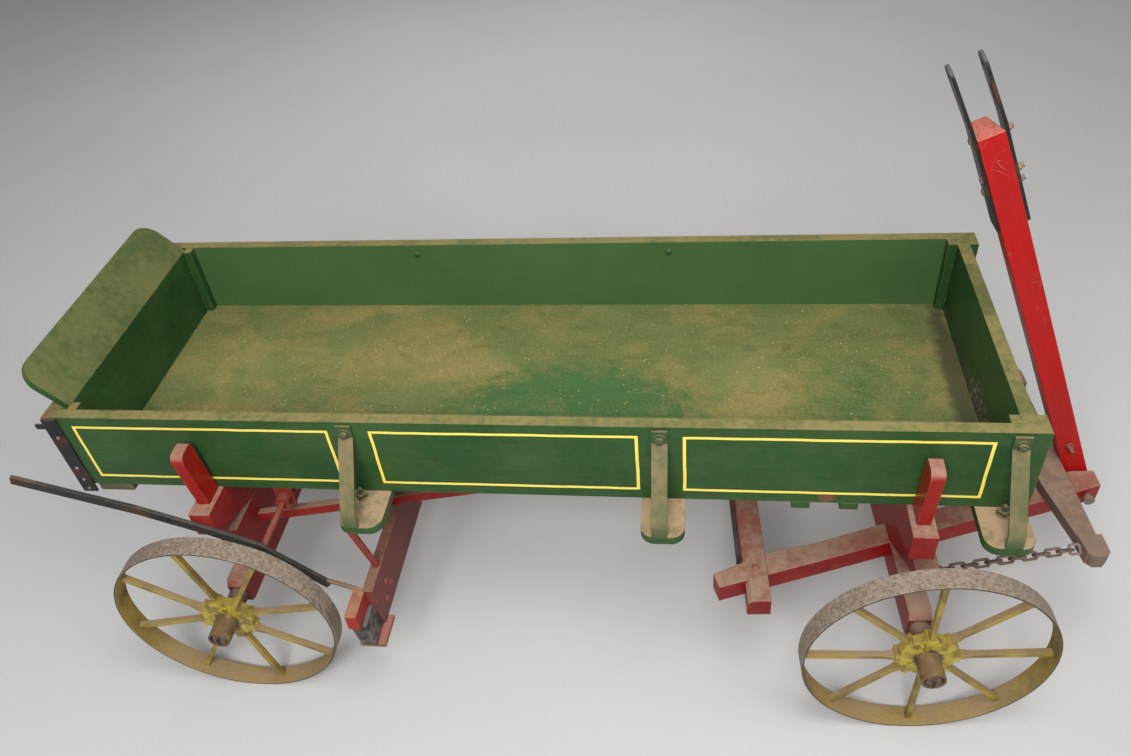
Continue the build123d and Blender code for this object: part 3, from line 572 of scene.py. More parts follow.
def iron(name, base, worn, dust, dust_amount=0.6, wear=0.7, gloss=0.5, metal=0.0):
    """Old painted or bare iron: pitted skin, rusty blotches, rubbed arrises and dust."""
    material, tree, surface, place = new_material(name, Metallic=metal, Specular_IOR_Level=0.25)
    blotch = ramp(tree, mottle(tree, place, scale=22.0, detail=7.0, distortion=0.4), 0.50, 0.72)
    pits = mottle(tree, place, scale=420.0)
    colour = mix_colour(tree, times(tree, blotch, 0.45), base, worn)
    rubbed = grouped(tree, rubbed_edges, Vector=place, Width=0.0016, Amount=wear)
    colour = mix_colour(tree, rubbed, colour, worn)
    dirt = grouped(tree, settled_dust, Vector=place, Amount=dust_amount)
    colour = mix_colour(tree, dirt, colour, dust)
    rough = plus(tree, gloss, times(tree, larger(tree, dirt, blotch), 0.4), clamp=True)
    relief = plus(tree, times(tree, pits, 0.7), times(tree, blotch, 0.5))
    finish_surface(tree, surface, colour, rough, relief, IRON_RELIEF)
    return material


def turn_profile(mesh, profile, centre, axis, steps=20):
    """A turned piece from its half profile of radius and height, set on a point along an axis."""
    before = set(mesh.verts)
    line = [mesh.verts.new((radius, 0.0, height)) for radius, height in profile]
    edges = [mesh.edges.new(pair) for pair in zip(line, line[1:])]
    bmesh.ops.spin(mesh, geom=line + edges, cent=(0, 0, 0), axis=UP, angle=2 * pi, steps=steps,
                   use_merge=True)
    turned = [corner for corner in mesh.verts if corner not in before]
    place = Matrix.Translation(centre) @ Vector(axis).to_track_quat("Z", "Y").to_matrix().to_4x4()
    bmesh.ops.transform(mesh, matrix=place, verts=turned)
    bmesh.ops.remove_doubles(mesh, verts=turned, dist=0.00002)


def nut(mesh, centre, axis, flats, height, sides=6):
    """A hexagonal or square nut with its corners eased."""
    turn = Vector(axis).to_track_quat("Z", "Y").to_matrix().to_4x4()
    place = Matrix.Translation(Vector(centre) + Vector(axis).normalized() * height / 2) @ turn
    radius = flats / 2 / cos(pi / sides)
    made = bmesh.ops.create_cone(mesh, cap_ends=True, segments=sides, radius1=radius, radius2=radius,
                                 depth=height, matrix=place)
    edges = list({edge for corner in made["verts"] for edge in corner.link_edges})
    bmesh.ops.bevel(mesh, geom=edges, offset=height * 0.12, affect="EDGES", segments=2, profile=0.5,
                    material=-1)


def washer(mesh, centre, axis, radius, thickness):
    """A flat round washer."""
    shoulder = (radius - thickness / 3, thickness)
    profile = ((0.0, thickness), shoulder, (radius, thickness * 0.6), (radius, 0.0), (0.0, 0.0))
    turn_profile(mesh, profile, centre, axis)


def bolted(mesh, spot, axis, washer_size, nut_size, sides=6):
    """A washer with a nut on it. Gives the middle of the nut's face."""
    washer(mesh, spot, axis, *washer_size)
    on_washer = spot + axis * washer_size[1]
    nut(mesh, on_washer, axis, *nut_size, sides=sides)
    return on_washer + axis * nut_size[1]


def brace_bolts(side):
    """Washers and nuts on each brace and on each sill's end, and domed heads inside the box."""
    outer, inner = board_faces(side)
    outward = Vector((0.0, OUT[side], 0.0))
    mesh = bmesh.new()
    for x in BRACE_CENTRES:
        face = Vector((x, outer + OUT[side] * BRACE_IRON, BOLT_FROM_FLOOR))
        bolted(mesh, face, outward, BRACE_WASHER, BRACE_NUT)
        turn_profile(mesh, BRACE_BOLT_END, face, outward, steps=12)
    sill_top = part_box("cross_sills")[1].z
    for x in BRACE_CENTRES:
        spot = Vector((x, outer + OUT[side] * SILL_BOLT_OUT, sill_top))
        end = bolted(mesh, spot, UP, SILL_WASHER, SILL_NUT, sides=4)
        turn_profile(mesh, STUD_END, end, UP, steps=12)
    heads = bmesh.new()
    for x in THROUGH_BOLTS:
        turn_profile(heads, DOMED_HEAD, (x, inner, BOLT_FROM_FLOOR), -outward)
    keep("brace_bolt_heads_" + side, heads, green_heads, "wagon")
    keep("brace_bolts_" + side, mesh, green_iron, "wagon")


def strap_rivets():
    """Bright worn rivets down both rear end straps."""
    mesh = bmesh.new()
    low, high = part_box("end_straps")
    for out, face in ((1.0, high.y), (-1.0, low.y)):
        for z in STRAP_RIVETS:
            turn_profile(mesh, RIVET_HEAD, (STRAP_RIVET_X, face, z), (0, out, 0), steps=14)
    keep("strap_rivets", mesh, worn_iron, "wagon")


green_iron = iron("green painted iron", GREEN_IRON, GREEN_IRON_WORN, GREEN_IRON_DUST, dust_amount=1.15,
                  wear=0.6, gloss=0.45)
green_heads = iron("green bolt heads", GREEN_HEAD, RUST, OLIVE_DUST, dust_amount=0.35, wear=0.4, gloss=0.40)
black_iron = iron("black iron", BLACK, RUST, GREY_DUST, dust_amount=0.45, wear=0.6, gloss=0.42)
worn_iron = iron("worn iron", BRIGHT_IRON, RUST, GREY_DUST, dust_amount=0.4, wear=0.5, gloss=0.42, metal=0.6)
dress(["braces_left", "braces_right"], green_iron, edge=0.0008)
dress(["end_straps"], black_iron, edge=0.0007)
for side in OUT:
    brace_bolts(side)
strap_rivets()


# Bolsters, stakes, axles and the sand board: red timbers of the running gear.
# Oak painted red. Dust lies on what looks up, and the sheltered faces keep a darker clean red.

RED = (0.300, 0.010, 0.009, 1.0)
RED_DARK = (0.150, 0.007, 0.009, 1.0)
RED_BRIGHT = (0.300, 0.005, 0.003, 1.0)
BOLT_RED = (0.200, 0.022, 0.018, 1.0)
ROSE_DUST = (0.330, 0.215, 0.150, 1.0)
END_GRAIN = (0.330, 0.170, 0.120, 1.0)

red_across = painted_wood("red paint on cross timbers", RED, RED_DARK, ROSE_DUST, ALONG_Y,
                          wear=0.7, gloss=0.40, under=END_GRAIN)
red_along = painted_wood("red paint on long timbers", RED, RED_DARK, ROSE_DUST, ALONG_X,
                         wear=0.7, gloss=0.40, under=END_GRAIN)
red_stake = painted_wood("red paint on stakes", RED_BRIGHT, RED, ROSE_DUST, ALONG_Z,
                         dust_amount=0.85, wear=0.9, gloss=0.30, under=END_GRAIN)
bolt_red = iron("red painted bolts", BOLT_RED, RUST, ROSE_DUST, dust_amount=0.7, wear=0.6, gloss=0.45)
timbers = ["rear_bolster", "front_bolster", "rear_axle", "front_axle", "sand_board", "slider_bar"]
dress(timbers, red_across, edge=0.0014)
dress(["rear_stakes", "front_stakes"], red_stake, edge=0.0016)
dress(["reach", "rear_hounds", "front_hounds"], red_along, edge=0.0014)

HOUND_BOLT_ACROSS = 0.2695
SLIDER_BACK = 0.297
AXLE_BOLT_ACROSS = (0.150, 0.215)
GEAR_NUT = (0.016, 0.008)
JOINTS = {row["name"]: row for row in frame["joints"]}
KING = Vector(JOINTS["front_gear_steer"]["pos_m"]) * Vector((1.0, 1.0, 0.0))
GEAR_ACROSS = Vector(JOINTS["front_left_spin"]["axis"]).normalized()
GEAR_AHEAD = GEAR_ACROSS.cross(UP)


def gear_point(ahead, across, height):
    """A point from the kingpin along and across the front gear."""
    return KING + ahead * GEAR_AHEAD + across * GEAR_ACROSS + height * UP


def running_gear_bolts():
    """Domed bolts through the slider bar and the hounds, and square nuts below them and the axle."""
    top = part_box("slider_bar")[1].z
    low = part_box("slider_iron")[0].z
    axle_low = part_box("front_axle")[0].z
    mesh = bmesh.new()
    for side in (1.0, -1.0):
        turn_profile(mesh, DOMED_HEAD, gear_point(-SLIDER_BACK, side * HOUND_BOLT_ACROSS, top), UP)
        nut(mesh, gear_point(-SLIDER_BACK, side * HOUND_BOLT_ACROSS, low), -UP, *GEAR_NUT, sides=4)
        for across in AXLE_BOLT_ACROSS:
            nut(mesh, gear_point(0.0, side * across, axle_low), -UP, *GEAR_NUT, sides=4)
    keep("front_gear_bolts", mesh, bolt_red, "front_gear")


running_gear_bolts()


# Kingpin, rub iron and slider iron: bare forgings that carry the turning of the front gear.
# Black iron, greasy where they rub and brown elsewhere.

GREASE_BLACK = (0.020, 0.017, 0.015, 1.0)

greasy_iron = iron("greasy iron", GREASE_BLACK, RUST, GREY_DUST, dust_amount=0.4, wear=0.5, gloss=0.38)
dress(["kingpin", "rub_iron", "slider_iron"], greasy_iron, edge=0.0005)


# Skeins: the iron ends of the axles, with a collar against the wood and a nut outside each hub.
# Cast iron, brown with old grease and dust, and a black ring of painted shade where collar and wood meet.

SKEIN_BROWN = (0.115, 0.085, 0.065, 1.0)
COLLAR_FROM_HUB = 0.057
# A thin black ring that stands in for the shade in the gap between collar and wood: painted shade.
SHADE_RING_WIDTH = 0.0025
SHADE_RING_INNER = 0.016
SHADE_RING_OUTER = 0.0212
PAINTED_SHADE_RING = (
    (SHADE_RING_INNER, 0.0),
    (SHADE_RING_OUTER, 0.0),
    (SHADE_RING_OUTER, SHADE_RING_WIDTH),
    (SHADE_RING_INNER, SHADE_RING_WIDTH),
    (SHADE_RING_INNER, 0.0),
)
PIN_FROM_HUB = 0.0625
PIN_HEIGHTS = (0.010, 0.0, -0.011)
PIN_WIRE = 0.0016
WHEELS = {name[:-len("_spin")]: row for name, row in JOINTS.items() if name.endswith("_spin")}


def wheel_axle(wheel):
    """A wheel's middle, and the direction out of the wagon along its axle."""
    row = WHEELS[wheel]
    return Vector(row["pos_m"]), Vector(row["axis"]).normalized() * OUT[wheel.split("_")[1]]


def bent_wire(mesh, points, radius):
    """A round wire through points, with closed ends."""
    rings = []
    last = len(points) - 1
    for i, point in enumerate(points):
        run = (points[min(i + 1, last)] - points[max(i - 1, 0)]).normalized()
        place = Matrix.Translation(point) @ run.to_track_quat("Z", "Y").to_matrix().to_4x4()
        made = bmesh.ops.create_circle(mesh, cap_ends=i in (0, last), segments=8, radius=radius, matrix=place)
        rings.append(made["verts"])
    for pair in zip(rings, rings[1:]):
        around = set()
        for ring in pair:
            touching = {edge for corner in ring for edge in corner.link_edges}
            around |= {edge for edge in touching if edge.verts[0] in ring and edge.verts[1] in ring}
        bmesh.ops.bridge_loops(mesh, edges=list(around))


def skein_shade_rings_and_pins(name, body, wheels):
    """A ring of painted shade where each collar meets the wood, and a short split pin through each nut."""
    mesh = bmesh.new()
    for wheel in wheels:
        hub, outward = wheel_axle(wheel)
        # Painted shade: a black ring in the gap between collar and wood.
        turn_profile(mesh, PAINTED_SHADE_RING, hub - outward * COLLAR_FROM_HUB, outward, steps=28)
        for side in (1.0, -1.0):
            leg = hub + outward * PIN_FROM_HUB + outward.cross(UP) * side * PIN_WIRE
            bent_wire(mesh, [leg + UP * height for height in PIN_HEIGHTS], PIN_WIRE)
    keep(name + "_trim", mesh, black_iron, body)


brown_iron = iron("brown iron", SKEIN_BROWN, RUST, ROSE_DUST, dust_amount=0.7, wear=0.4, gloss=0.55)
dress(["rear_skeins", "front_skeins"], brown_iron, edge=0.0006)
skein_shade_rings_and_pins("rear_skeins", "wagon", ("rear_left", "rear_right"))
skein_shade_rings_and_pins("front_skeins", "front_gear", ("front_left", "front_right"))


# Evener: the loose draught bar in front of the tongue's foot, with an iron cap and eye on each end.
# Bare hardwood, grey-pink and dusty, in caps of rusty strap.

BARE_WOOD = (0.150, 0.102, 0.080, 1.0)
BARE_WOOD_DARK = (0.100, 0.065, 0.050, 1.0)
FRESH_WOOD = (0.420, 0.310, 0.220, 1.0)
STRAP_BROWN = (0.165, 0.120, 0.095, 1.0)
RUST_PALE = (0.270, 0.190, 0.125, 1.0)

bare_bar = painted_wood("bare hardwood", BARE_WOOD, BARE_WOOD_DARK, ROSE_DUST, ALONG_Y, dust_amount=0.8,
                        wear=0.3, gloss=0.72, under=FRESH_WOOD, marks=0.2)
rusty_iron = iron("rusty iron", STRAP_BROWN, RUST_PALE, ROSE_DUST, gloss=0.62)
dress(["evener"], bare_bar, edge=0.0030, segments=3)
dress(["evener_irons", "tongue_pin"], rusty_iron, edge=0.0008)


# Stay chains: hand-forged links between the evener's ends and the front axle.
# Round wire, brown with rust and dust.

CHAIN_BROWN = (0.060, 0.044, 0.036, 1.0)
CHAIN_WORN = (0.160, 0.110, 0.080, 1.0)

chain_iron = iron("chain iron", CHAIN_BROWN, CHAIN_WORN, ROSE_DUST, dust_amount=0.35, wear=0.8, gloss=0.60)
dress(["stay_chains"], chain_iron, edge=0.0013)


# Tongue: the raised pole between the front hounds, with two flat straps that end in the hitch eye.
# Square oak painted bright red, its top bare end grain, the straps black with grey dust.

TONGUE_RED = (0.440, 0.006, 0.005, 1.0)
TONGUE_FADED = (0.400, 0.012, 0.011, 1.0)
PINK_FILM = (0.400, 0.170, 0.130, 1.0)
END_PALE = (0.520, 0.170, 0.125, 1.0)
END_DEEP = (0.340, 0.075, 0.055, 1.0)
END_SPLIT = (0.120, 0.050, 0.040, 1.0)

TONGUE_JOINT = JOINTS["tongue_lift"]
HITCH_MOUNT = {row["name"]: row for row in frame["record"]["mounts"]}["hitch_pin"]
PIVOT = Vector(TONGUE_JOINT["pos_m"])
HITCH = Vector(HITCH_MOUNT["pos_m"])
ALONG_TONGUE = tuple((HITCH - PIVOT).to_track_quat("X", "Z").to_euler())

# Each strap bolt's height above the pivot and its distance aside from the middle.
STRAP_BOLTS = ((0.768, 0.006), (0.803, -0.009), (0.876, 0.002))
STRAP_FACE = 0.0285
STRAP_NUT = (0.012, 0.006)
SHORT_END = tuple((radius, 0.35 * height) for radius, height in STUD_END)
STUD_HEIGHT = 0.098
STUD_OUT = 0.023
STUD_WASHER = (0.010, 0.0015)
STUD_NUT = (0.013, 0.006)


def bare_tongue_end(material):
    """Pink end grain with cracks on the tongue's sawn top."""
    tree, socket, below, at = reopen(material)
    facing = vector_maths(tree, "DOT_PRODUCT", at["Normal"], (HITCH - PIVOT).normalized()).outputs["Value"]
    rings = laid_out(tree, at["Object"], scale=(1.0, 5.0, 1.0))
    tone = mix_colour(tree, mottle(tree, rings, scale=320.0), END_PALE, END_DEEP)
    split = ramp(tree, crease(tree, rings, scale=60.0, detail=1.0), 0.012, 0.004)
    tone = mix_colour(tree, split, tone, END_SPLIT)
    tree.links.new(mix_colour(tree, ramp(tree, facing, 0.55, 0.75), below, tone), socket)


def tongue_bolts():
    """Three bolts through both straps, nutted in front and headed behind, and the stud low on the right."""
    ahead = Vector(HITCH_MOUNT["axis"]).normalized()
    across = Vector(TONGUE_JOINT["axis"]).normalized()
    up = ahead.cross(across).normalized()
    if up.z < 0:
        up = -up
    mesh = bmesh.new()
    for height, aside in STRAP_BOLTS:
        middle = PIVOT + up * height + across * aside
        turn_profile(mesh, DOMED_HEAD, middle - ahead * STRAP_FACE, -ahead)
        nut(mesh, middle + ahead * STRAP_FACE, ahead, *STRAP_NUT, sides=4)
        turn_profile(mesh, SHORT_END, middle + ahead * (STRAP_FACE + STRAP_NUT[1]), ahead, steps=12)
    keep("tongue_bolts", mesh, rusty_iron, "tongue")
    mesh = bmesh.new()
    end = bolted(mesh, PIVOT + up * STUD_HEIGHT - across * STUD_OUT, -across, STUD_WASHER, STUD_NUT)
    turn_profile(mesh, STUD_END, end, -across, steps=12)
    keep("tongue_stud", mesh, bolt_red, "tongue")


tongue_red = painted_wood("red paint on the tongue", TONGUE_RED, TONGUE_FADED, PINK_FILM, ALONG_TONGUE,
                          dust_amount=0.18, wear=0.9, gloss=0.34, under=END_GRAIN, marks=0.8)
bare_tongue_end(tongue_red)
dress(["tongue_pole"], tongue_red, edge=0.0020, segments=3)
dress(["tongue_straps"], black_iron, edge=0.0007)
tongue_bolts()


# Wheels: a flat iron tyre, eight flat iron spokes and a cast hub with sockets each.
# Yellow paint inside, worn rusty outside where the tyre meets the ground, brown dust on the hub's nose.

YELLOW = (0.330, 0.235, 0.030, 1.0)
YELLOW_DARK = (0.150, 0.110, 0.018, 1.0)
HUB_YELLOW = (0.420, 0.330, 0.035, 1.0)
WHEEL_DUST = (0.330, 0.225, 0.120, 1.0)
TREAD_PALE = (0.290, 0.230, 0.178, 1.0)
TREAD_DARK = (0.150, 0.112, 0.086, 1.0)
TREAD_SPECK = (0.420, 0.325, 0.230, 1.0)
EDGE_BLACK = (0.030, 0.024, 0.018, 1.0)
NOSE_BROWN = (0.105, 0.062, 0.024, 1.0)
NOSE_DARK = (0.060, 0.040, 0.022, 1.0)
HUB_DUST = (0.280, 0.170, 0.068, 1.0)

# Distances from the axle at which the black edge turns to tread, and to the paint inside.
TREAD_FROM = 0.2296
TREAD_FULL = 0.2304
TYRE_INSIDE_FROM = 0.2272
TYRE_INSIDE_FULL = 0.2264
RIVET_RADIUS = 0.041
FLANGE_HALF = 0.010
SPOKES = 8
REAR_TURN = -radians(32.0)
# Radius, half width and half depth of a spoke at its root, at its socket's mouth, past it and at the tyre.
SPOKE_SECTIONS = (
    (0.0460, 0.0045, 0.0090),
    (0.0600, 0.0048, 0.0088),
    (0.0800, 0.0046, 0.0060),
    (0.2258, 0.0055, 0.0062),
)
SPOKE_STAGGER = 0.003
SPOKE_EDGE = 0.0009


def from_axle(tree, place, wheel):
    """Distance from a wheel's axle."""
    row = WHEELS[wheel]
    turn = (0.0, 0.0, atan2(-row["axis"][0], row["axis"][1]))
    local = laid_out(tree, place, centre=tuple(row["pos_m"]), turn=turn)
    flat = vector_maths(tree, "MULTIPLY", local, (1.0, 0.0, 1.0)).outputs[0]
    return vector_maths(tree, "LENGTH", flat).outputs["Value"]


def tyre_finish(wheel):
    """Rusty scuffed tread outside, black edges and yellow paint with dust inside."""
    material, tree, surface, place = new_material("tyre " + wheel.replace("_", " "))
    radius = from_axle(tree, place, wheel)
    tread = ramp(tree, radius, TREAD_FROM, TREAD_FULL)
    inside = ramp(tree, radius, TYRE_INSIDE_FROM, TYRE_INSIDE_FULL)
    scuffs = ramp(tree, mottle(tree, place, scale=130.0, detail=9.0, distortion=0.5), 0.36, 0.64)
    pits = ramp(tree, mottle(tree, place, scale=330.0, detail=5.0), 0.40, 0.66)
    worn = mix_colour(tree, scuffs, TREAD_DARK, TREAD_PALE)
    worn = mix_colour(tree, times(tree, pits, 0.5), worn, TREAD_SPECK)
    age = ramp(tree, mottle(tree, place, scale=12.0, detail=6.0), 0.40, 0.66)
    dirt = grouped(tree, settled_dust, Vector=place, Amount=0.9)
    paint = mix_colour(tree, dirt, mix_colour(tree, age, YELLOW, YELLOW_DARK), WHEEL_DUST)
    edge = mix_colour(tree, times(tree, scuffs, 0.5), EDGE_BLACK, TREAD_DARK)
    colour = mix_colour(tree, inside, mix_colour(tree, tread, edge, worn), paint)
    rough = plus(tree, 0.62, times(tree, scuffs, 0.3), clamp=True)
    finish_surface(tree, surface, colour, rough, plus(tree, scuffs, pits), 0.0007)
    return material


def spoke_finish(wheel):
    """Yellow paint with tan dust on the faces that look up."""
    material, tree, surface, place = new_material("spokes " + wheel.replace("_", " "))
    age = ramp(tree, mottle(tree, place, scale=18.0, detail=6.0), 0.36, 0.64)
    rubbed = grouped(tree, rubbed_edges, Vector=place, Width=0.0014, Amount=0.6)
    colour = mix_colour(tree, rubbed, mix_colour(tree, age, YELLOW, YELLOW_DARK), RUST)
    dirt = grouped(tree, settled_dust, Vector=place, Amount=1.0)
    colour = mix_colour(tree, dirt, colour, WHEEL_DUST)
    rough = plus(tree, 0.45, times(tree, dirt, 0.45), clamp=True)
    finish_surface(tree, surface, colour, rough, mottle(tree, place, scale=300.0, detail=5.0), 0.0004)
    return material


def hub_finish(wheel):
    """Clean yellow flange round a nose that is brown with grease and dust."""
    material, tree, surface, place = new_material("hub " + wheel.replace("_", " "))
    smudge = times(tree, minus(tree, mottle(tree, place, scale=70.0, detail=5.0), 0.5), 0.030)
    flange = ramp(tree, plus(tree, from_axle(tree, place, wheel), smudge), 0.0235, 0.0330)
    age = ramp(tree, mottle(tree, place, scale=60.0, detail=6.0), 0.42, 0.66)
    painted = mix_colour(tree, age, HUB_YELLOW, YELLOW_DARK)
    colour = mix_colour(tree, flange, mix_colour(tree, age, NOSE_BROWN, NOSE_DARK), painted)
    dirt = grouped(tree, settled_dust, Vector=place, Amount=0.55)
    colour = mix_colour(tree, dirt, colour, HUB_DUST)
    rough = plus(tree, 0.48, times(tree, dirt, 0.4), clamp=True)
    finish_surface(tree, surface, colour, rough, mottle(tree, place, scale=240.0, detail=6.0), 0.0008)
    return material


def spoke_rays(wheel, past=0.0):
    """The directions of a wheel's spokes from its middle, or of lines at an angle past them."""
    axle = Vector(WHEELS[wheel]["axis"])
    first = past + (REAR_TURN if wheel.startswith("rear") else 0.0)
    turns = [first + i * 2 * pi / SPOKES for i in range(SPOKES)]
    return [cos(turn) * axle.cross(UP) + sin(turn) * UP for turn in turns]


def hub_rivets(wheel, finish):
    """Rivets through the flange between the spokes, headed on both faces."""
    centre, outward = wheel_axle(wheel)
    mesh = bmesh.new()
    for ray in spoke_rays(wheel, past=pi / SPOKES):
        for face in (outward, -outward):
            turn_profile(mesh, RIVET_HEAD, centre + RIVET_RADIUS * ray + face * FLANGE_HALF, face, steps=12)
    keep("hub_rivets_" + wheel, mesh, finish, "wheel_" + wheel)


def spoke_bar(mesh, place, offset):
    """One flat spoke along X of its place, drawn out from its root through its sections."""
    before = set(mesh.verts)
    made = bmesh.ops.create_grid(mesh, x_segments=1, y_segments=1, size=1.0)
    corners = made["verts"]
    face = corners[0].link_faces[0]
    signs = [(1.0 if corner.co.x > 0 else -1.0, 1.0 if corner.co.y > 0 else -1.0) for corner in corners]
    root = SPOKE_SECTIONS[0][0]
    tip = SPOKE_SECTIONS[-1][0]
    for number, (radius, half_width, half_depth) in enumerate(SPOKE_SECTIONS):
        if number:
            made = bmesh.ops.extrude_face_region(mesh, geom=[face])
            face = [part for part in made["geom"] if isinstance(part, bmesh.types.BMFace)][0]
            moved = [part for part in made["geom"] if isinstance(part, bmesh.types.BMVert)]
            corners = [min(moved, key=lambda corner: (corner.co - old.co).length) for old in corners]
        lean = offset * (tip - radius) / (tip - root)
        for corner, (wide, deep) in zip(corners, signs):
            corner.co = (radius, wide * half_width, lean + deep * half_depth)
    edges = {edge for corner in mesh.verts if corner not in before for edge in corner.link_edges}
    bmesh.ops.bevel(mesh, geom=list(edges), offset=SPOKE_EDGE, affect="EDGES", segments=2, profile=0.5,
                    material=-1, clamp_overlap=True)
    bar = [corner for corner in mesh.verts if corner not in before]
    bmesh.ops.transform(mesh, matrix=place, verts=bar)


def slim_spokes(wheel, finish):
    """Eight spokes that thin out past their sockets, as slim as they look, in place of the plain ones."""
    centre, outward = wheel_axle(wheel)
    mesh = bmesh.new()
    stagger = SPOKE_STAGGER
    for ray in spoke_rays(wheel):
        turn = Matrix((ray, outward.cross(ray), outward)).transposed().to_4x4()
        spoke_bar(mesh, Matrix.Translation(centre) @ turn, stagger)
        stagger = -stagger
    piece = keep("slim_spokes_" + wheel, mesh, finish, "wheel_" + wheel)
    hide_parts("spokes_" + wheel)


for wheel in WHEELS:
    cast = hub_finish(wheel)
    dress(["tyre_" + wheel], tyre_finish(wheel), 0.0012)
    slim_spokes(wheel, spoke_finish(wheel))
    dress(["hub_" + wheel], cast, 0.0009)
    hub_rivets(wheel, cast)


# Brake: a beam across in front of the rear wheels with wooden shoes and rubber pads on its ends,
# a black lever on the right, a link, and a rocker in two hangers under the floor.
# The beam has faded to a purple grey, the shoes keep their red, and dust lies on everything that looks up.

FADED_RED = (0.190, 0.045, 0.040, 1.0)
FADED_GREY = (0.080, 0.060, 0.062, 1.0)
TAN_DUST = (0.330, 0.255, 0.165, 1.0)
SHOE_RED = (0.330, 0.028, 0.022, 1.0)
SHOE_DUST = (0.380, 0.250, 0.150, 1.0)
PLATE_OLIVE = (0.170, 0.135, 0.025, 1.0)
PLATE_DARK = (0.100, 0.085, 0.025, 1.0)
PLATE_DUST = (0.360, 0.130, 0.110, 1.0)
LINK_BROWN = (0.140, 0.095, 0.060, 1.0)
RED_IRON = (0.240, 0.025, 0.020, 1.0)
PAD_BLACK = (0.020, 0.020, 0.021, 1.0)
PAD_GREY = (0.130, 0.108, 0.090, 1.0)
PAD_DUST = (0.150, 0.140, 0.125, 1.0)

# Distance across and height above the beam's foot of each bolt. The beam's front face leans by its slope.
BEAM_BOLTS = ((0.352, 0.062), (0.372, 0.030), (0.338, 0.040))
BEAM_SLOPE = 0.046
BEAM_FACE_BACK = 0.0055


def pad_rubber():
    """Hard black rubber, greyed by dust and scuffed."""
    material, tree, surface, place = new_material("pad rubber", Specular_IOR_Level=0.35)
    scuffs = ramp(tree, mottle(tree, place, scale=60.0, detail=8.0, distortion=0.4), 0.36, 0.62)
    dirt = grouped(tree, settled_dust, Vector=place, Amount=1.1)
    colour = mix_colour(tree, dirt, mix_colour(tree, scuffs, PAD_BLACK, PAD_GREY), PAD_DUST)
    rough = plus(tree, 0.62, times(tree, scuffs, 0.25), clamp=True)
    finish_surface(tree, surface, colour, rough, mottle(tree, place, scale=380.0, detail=5.0), 0.0005)
    return material


def beam_bolts():
    """Domed heads in the beam's front face that hold the shoe and the pad at each end."""
    low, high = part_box("brake_beam")
    mesh = bmesh.new()
    for side in (1.0, -1.0):
        for across, height in BEAM_BOLTS:
            face = high.x - BEAM_FACE_BACK + (high.z - low.z - height) * BEAM_SLOPE
            turn_profile(mesh, DOMED_HEAD, (face, side * across, low.z + height), (1, 0, BEAM_SLOPE))
    keep("beam_bolts", mesh, red_iron, "wagon")


beam_paint = painted_wood("faded red paint", FADED_RED, FADED_GREY, TAN_DUST, ALONG_Y,
                          dust_amount=0.45, wear=0.8, gloss=0.50, under=END_GRAIN, marks=0.8)
shoe_paint = painted_wood("red paint on brake shoes", SHOE_RED, RED, SHOE_DUST, ALONG_Y,
                          dust_amount=0.75, wear=0.7, gloss=0.5, under=END_GRAIN)
plate_wood = painted_wood("brake plates", PLATE_OLIVE, PLATE_DARK, PLATE_DUST, ALONG_Y,
                          dust_amount=1.2, gloss=0.6)
lever_iron = iron("lever iron", BLACK, RUST, GREY_DUST, dust_amount=0.35, wear=0.9, gloss=0.40)
link_iron = iron("link iron", LINK_BROWN, RUST, ROSE_DUST, wear=0.5, gloss=0.6)
red_iron = iron("red painted iron", RED_IRON, RUST, ROSE_DUST, dust_amount=0.4, gloss=0.42)
beam_bolts()
dress(["brake_beam"], beam_paint, edge=0.0016)
dress(["brake_shoes"], shoe_paint, edge=0.0014)
dress(["brake_pads"], pad_rubber(), edge=0.0020, segments=3)
dress(["brake_plates"], plate_wood, edge=0.0014)
dress(["brake_lever"], lever_iron, edge=0.0009)
dress(["brake_link"], link_iron, edge=0.0006)
dress(["brake_rocker", "rocker_hangers", "beam_hangers"], red_iron, edge=0.0006)


# Floor, lamps and camera: a plain pale floor that the tyres stand on, under four soft square lamps
# and a white sky, seen from where the photograph was taken.

CAMERA_PLACE = Vector((0.332, -1.4625, 1.308))
CAMERA_FORWARD = Vector((-0.1400, 0.7420, -0.6556))
CAMERA_RIGHT = Vector((0.9901, 0.1106, -0.0863))
CAMERA_LENS = 29.53
SENSOR_WIDTH = 36.0
FLOOR_PALE = (0.62, 0.61, 0.60, 1.0)
FLOOR_REACH = 14.0
SKY_WHITE = (1.0, 1.0, 1.0, 1.0)
SKY_STRENGTH = 0.26
# Place, width and power of each lamp.
LAMPS = {
    "key lamp": ((-0.1, -2.9, 2.4), 1.6, 112.0),
    "fill lamp": ((3.2, -1.2, 2.4), 2.6, 30.0),
    "back lamp": ((-0.6, 3.4, 2.6), 3.0, 50.0),
    "top lamp": ((0.6, -0.9, 2.1), 1.2, 24.0),
}


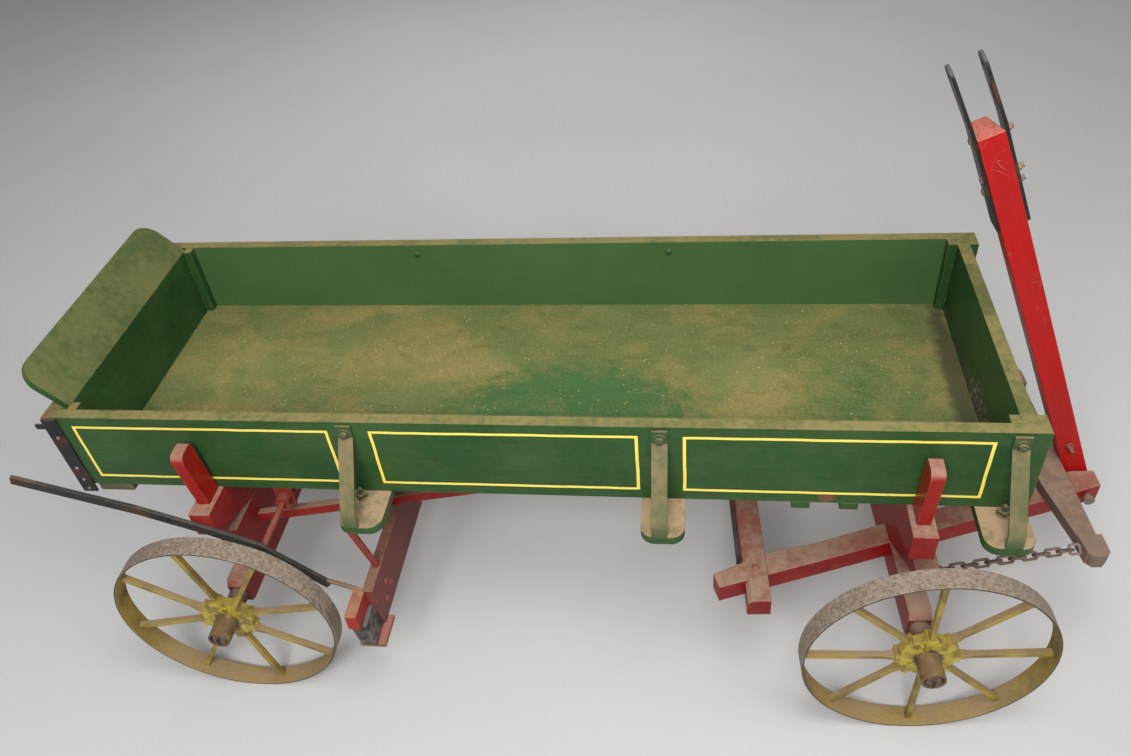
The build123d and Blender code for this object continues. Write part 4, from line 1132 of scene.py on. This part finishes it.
def make_floor():
    """A wide pale floor with a little cloudiness."""
    ground = bmesh.new()
    bmesh.ops.create_grid(ground, x_segments=2, y_segments=2, size=FLOOR_REACH,
                          matrix=Matrix.Translation((0, 0, cad_box[0].z)))
    data = bpy.data.meshes.new("floor")
    ground.to_mesh(data)
    ground.free()
    floor = bpy.data.objects.new("floor", data)
    bpy.context.scene.collection.objects.link(floor)
    material, tree, surface, place = new_material("pale floor")
    cloud = mottle(tree, place, scale=1.6, detail=5.0)
    colour = mix_colour(tree, cloud, FLOOR_PALE, darker(FLOOR_PALE, 0.9))
    rough = plus(tree, 0.7, times(tree, cloud, 0.2))
    finish_surface(tree, surface, colour, rough, cloud, 0.0002)
    data.materials.append(material)


def hang_lamp(name, place, width, power):
    """A large square lamp that looks at the wagon."""
    lamp = bpy.data.lights.new(name, "AREA")
    lamp.size = width
    lamp.energy = power
    hung = bpy.data.objects.new(name, lamp)
    hung.location = place
    hung.rotation_euler = (-Vector(place)).to_track_quat("-Z", "Y").to_euler()
    bpy.context.scene.collection.objects.link(hung)


def set_camera():
    """The camera at the photograph's place, looking along its axis."""
    lens = bpy.data.cameras.new("camera")
    lens.lens = CAMERA_LENS
    lens.sensor_width = SENSOR_WIDTH
    lens.sensor_fit = "HORIZONTAL"
    back = -CAMERA_FORWARD.normalized()
    up = back.cross(CAMERA_RIGHT).normalized()
    right = up.cross(back)
    camera = bpy.data.objects.new("camera", lens)
    camera.matrix_world = Matrix.Translation(CAMERA_PLACE) @ Matrix((right, up, back)).transposed().to_4x4()
    bpy.context.scene.collection.objects.link(camera)
    bpy.context.scene.camera = camera


make_floor()
for name, (place, width, power) in LAMPS.items():
    hang_lamp(name, place, width, power)
set_camera()
world = bpy.data.worlds.new("soft sky")
world.use_nodes = True
sky = world.node_tree.nodes["Background"]
sky.inputs["Color"].default_value = SKY_WHITE
sky.inputs["Strength"].default_value = SKY_STRENGTH
bpy.context.scene.world = world
bpy.context.scene.view_settings.view_transform = "Standard"
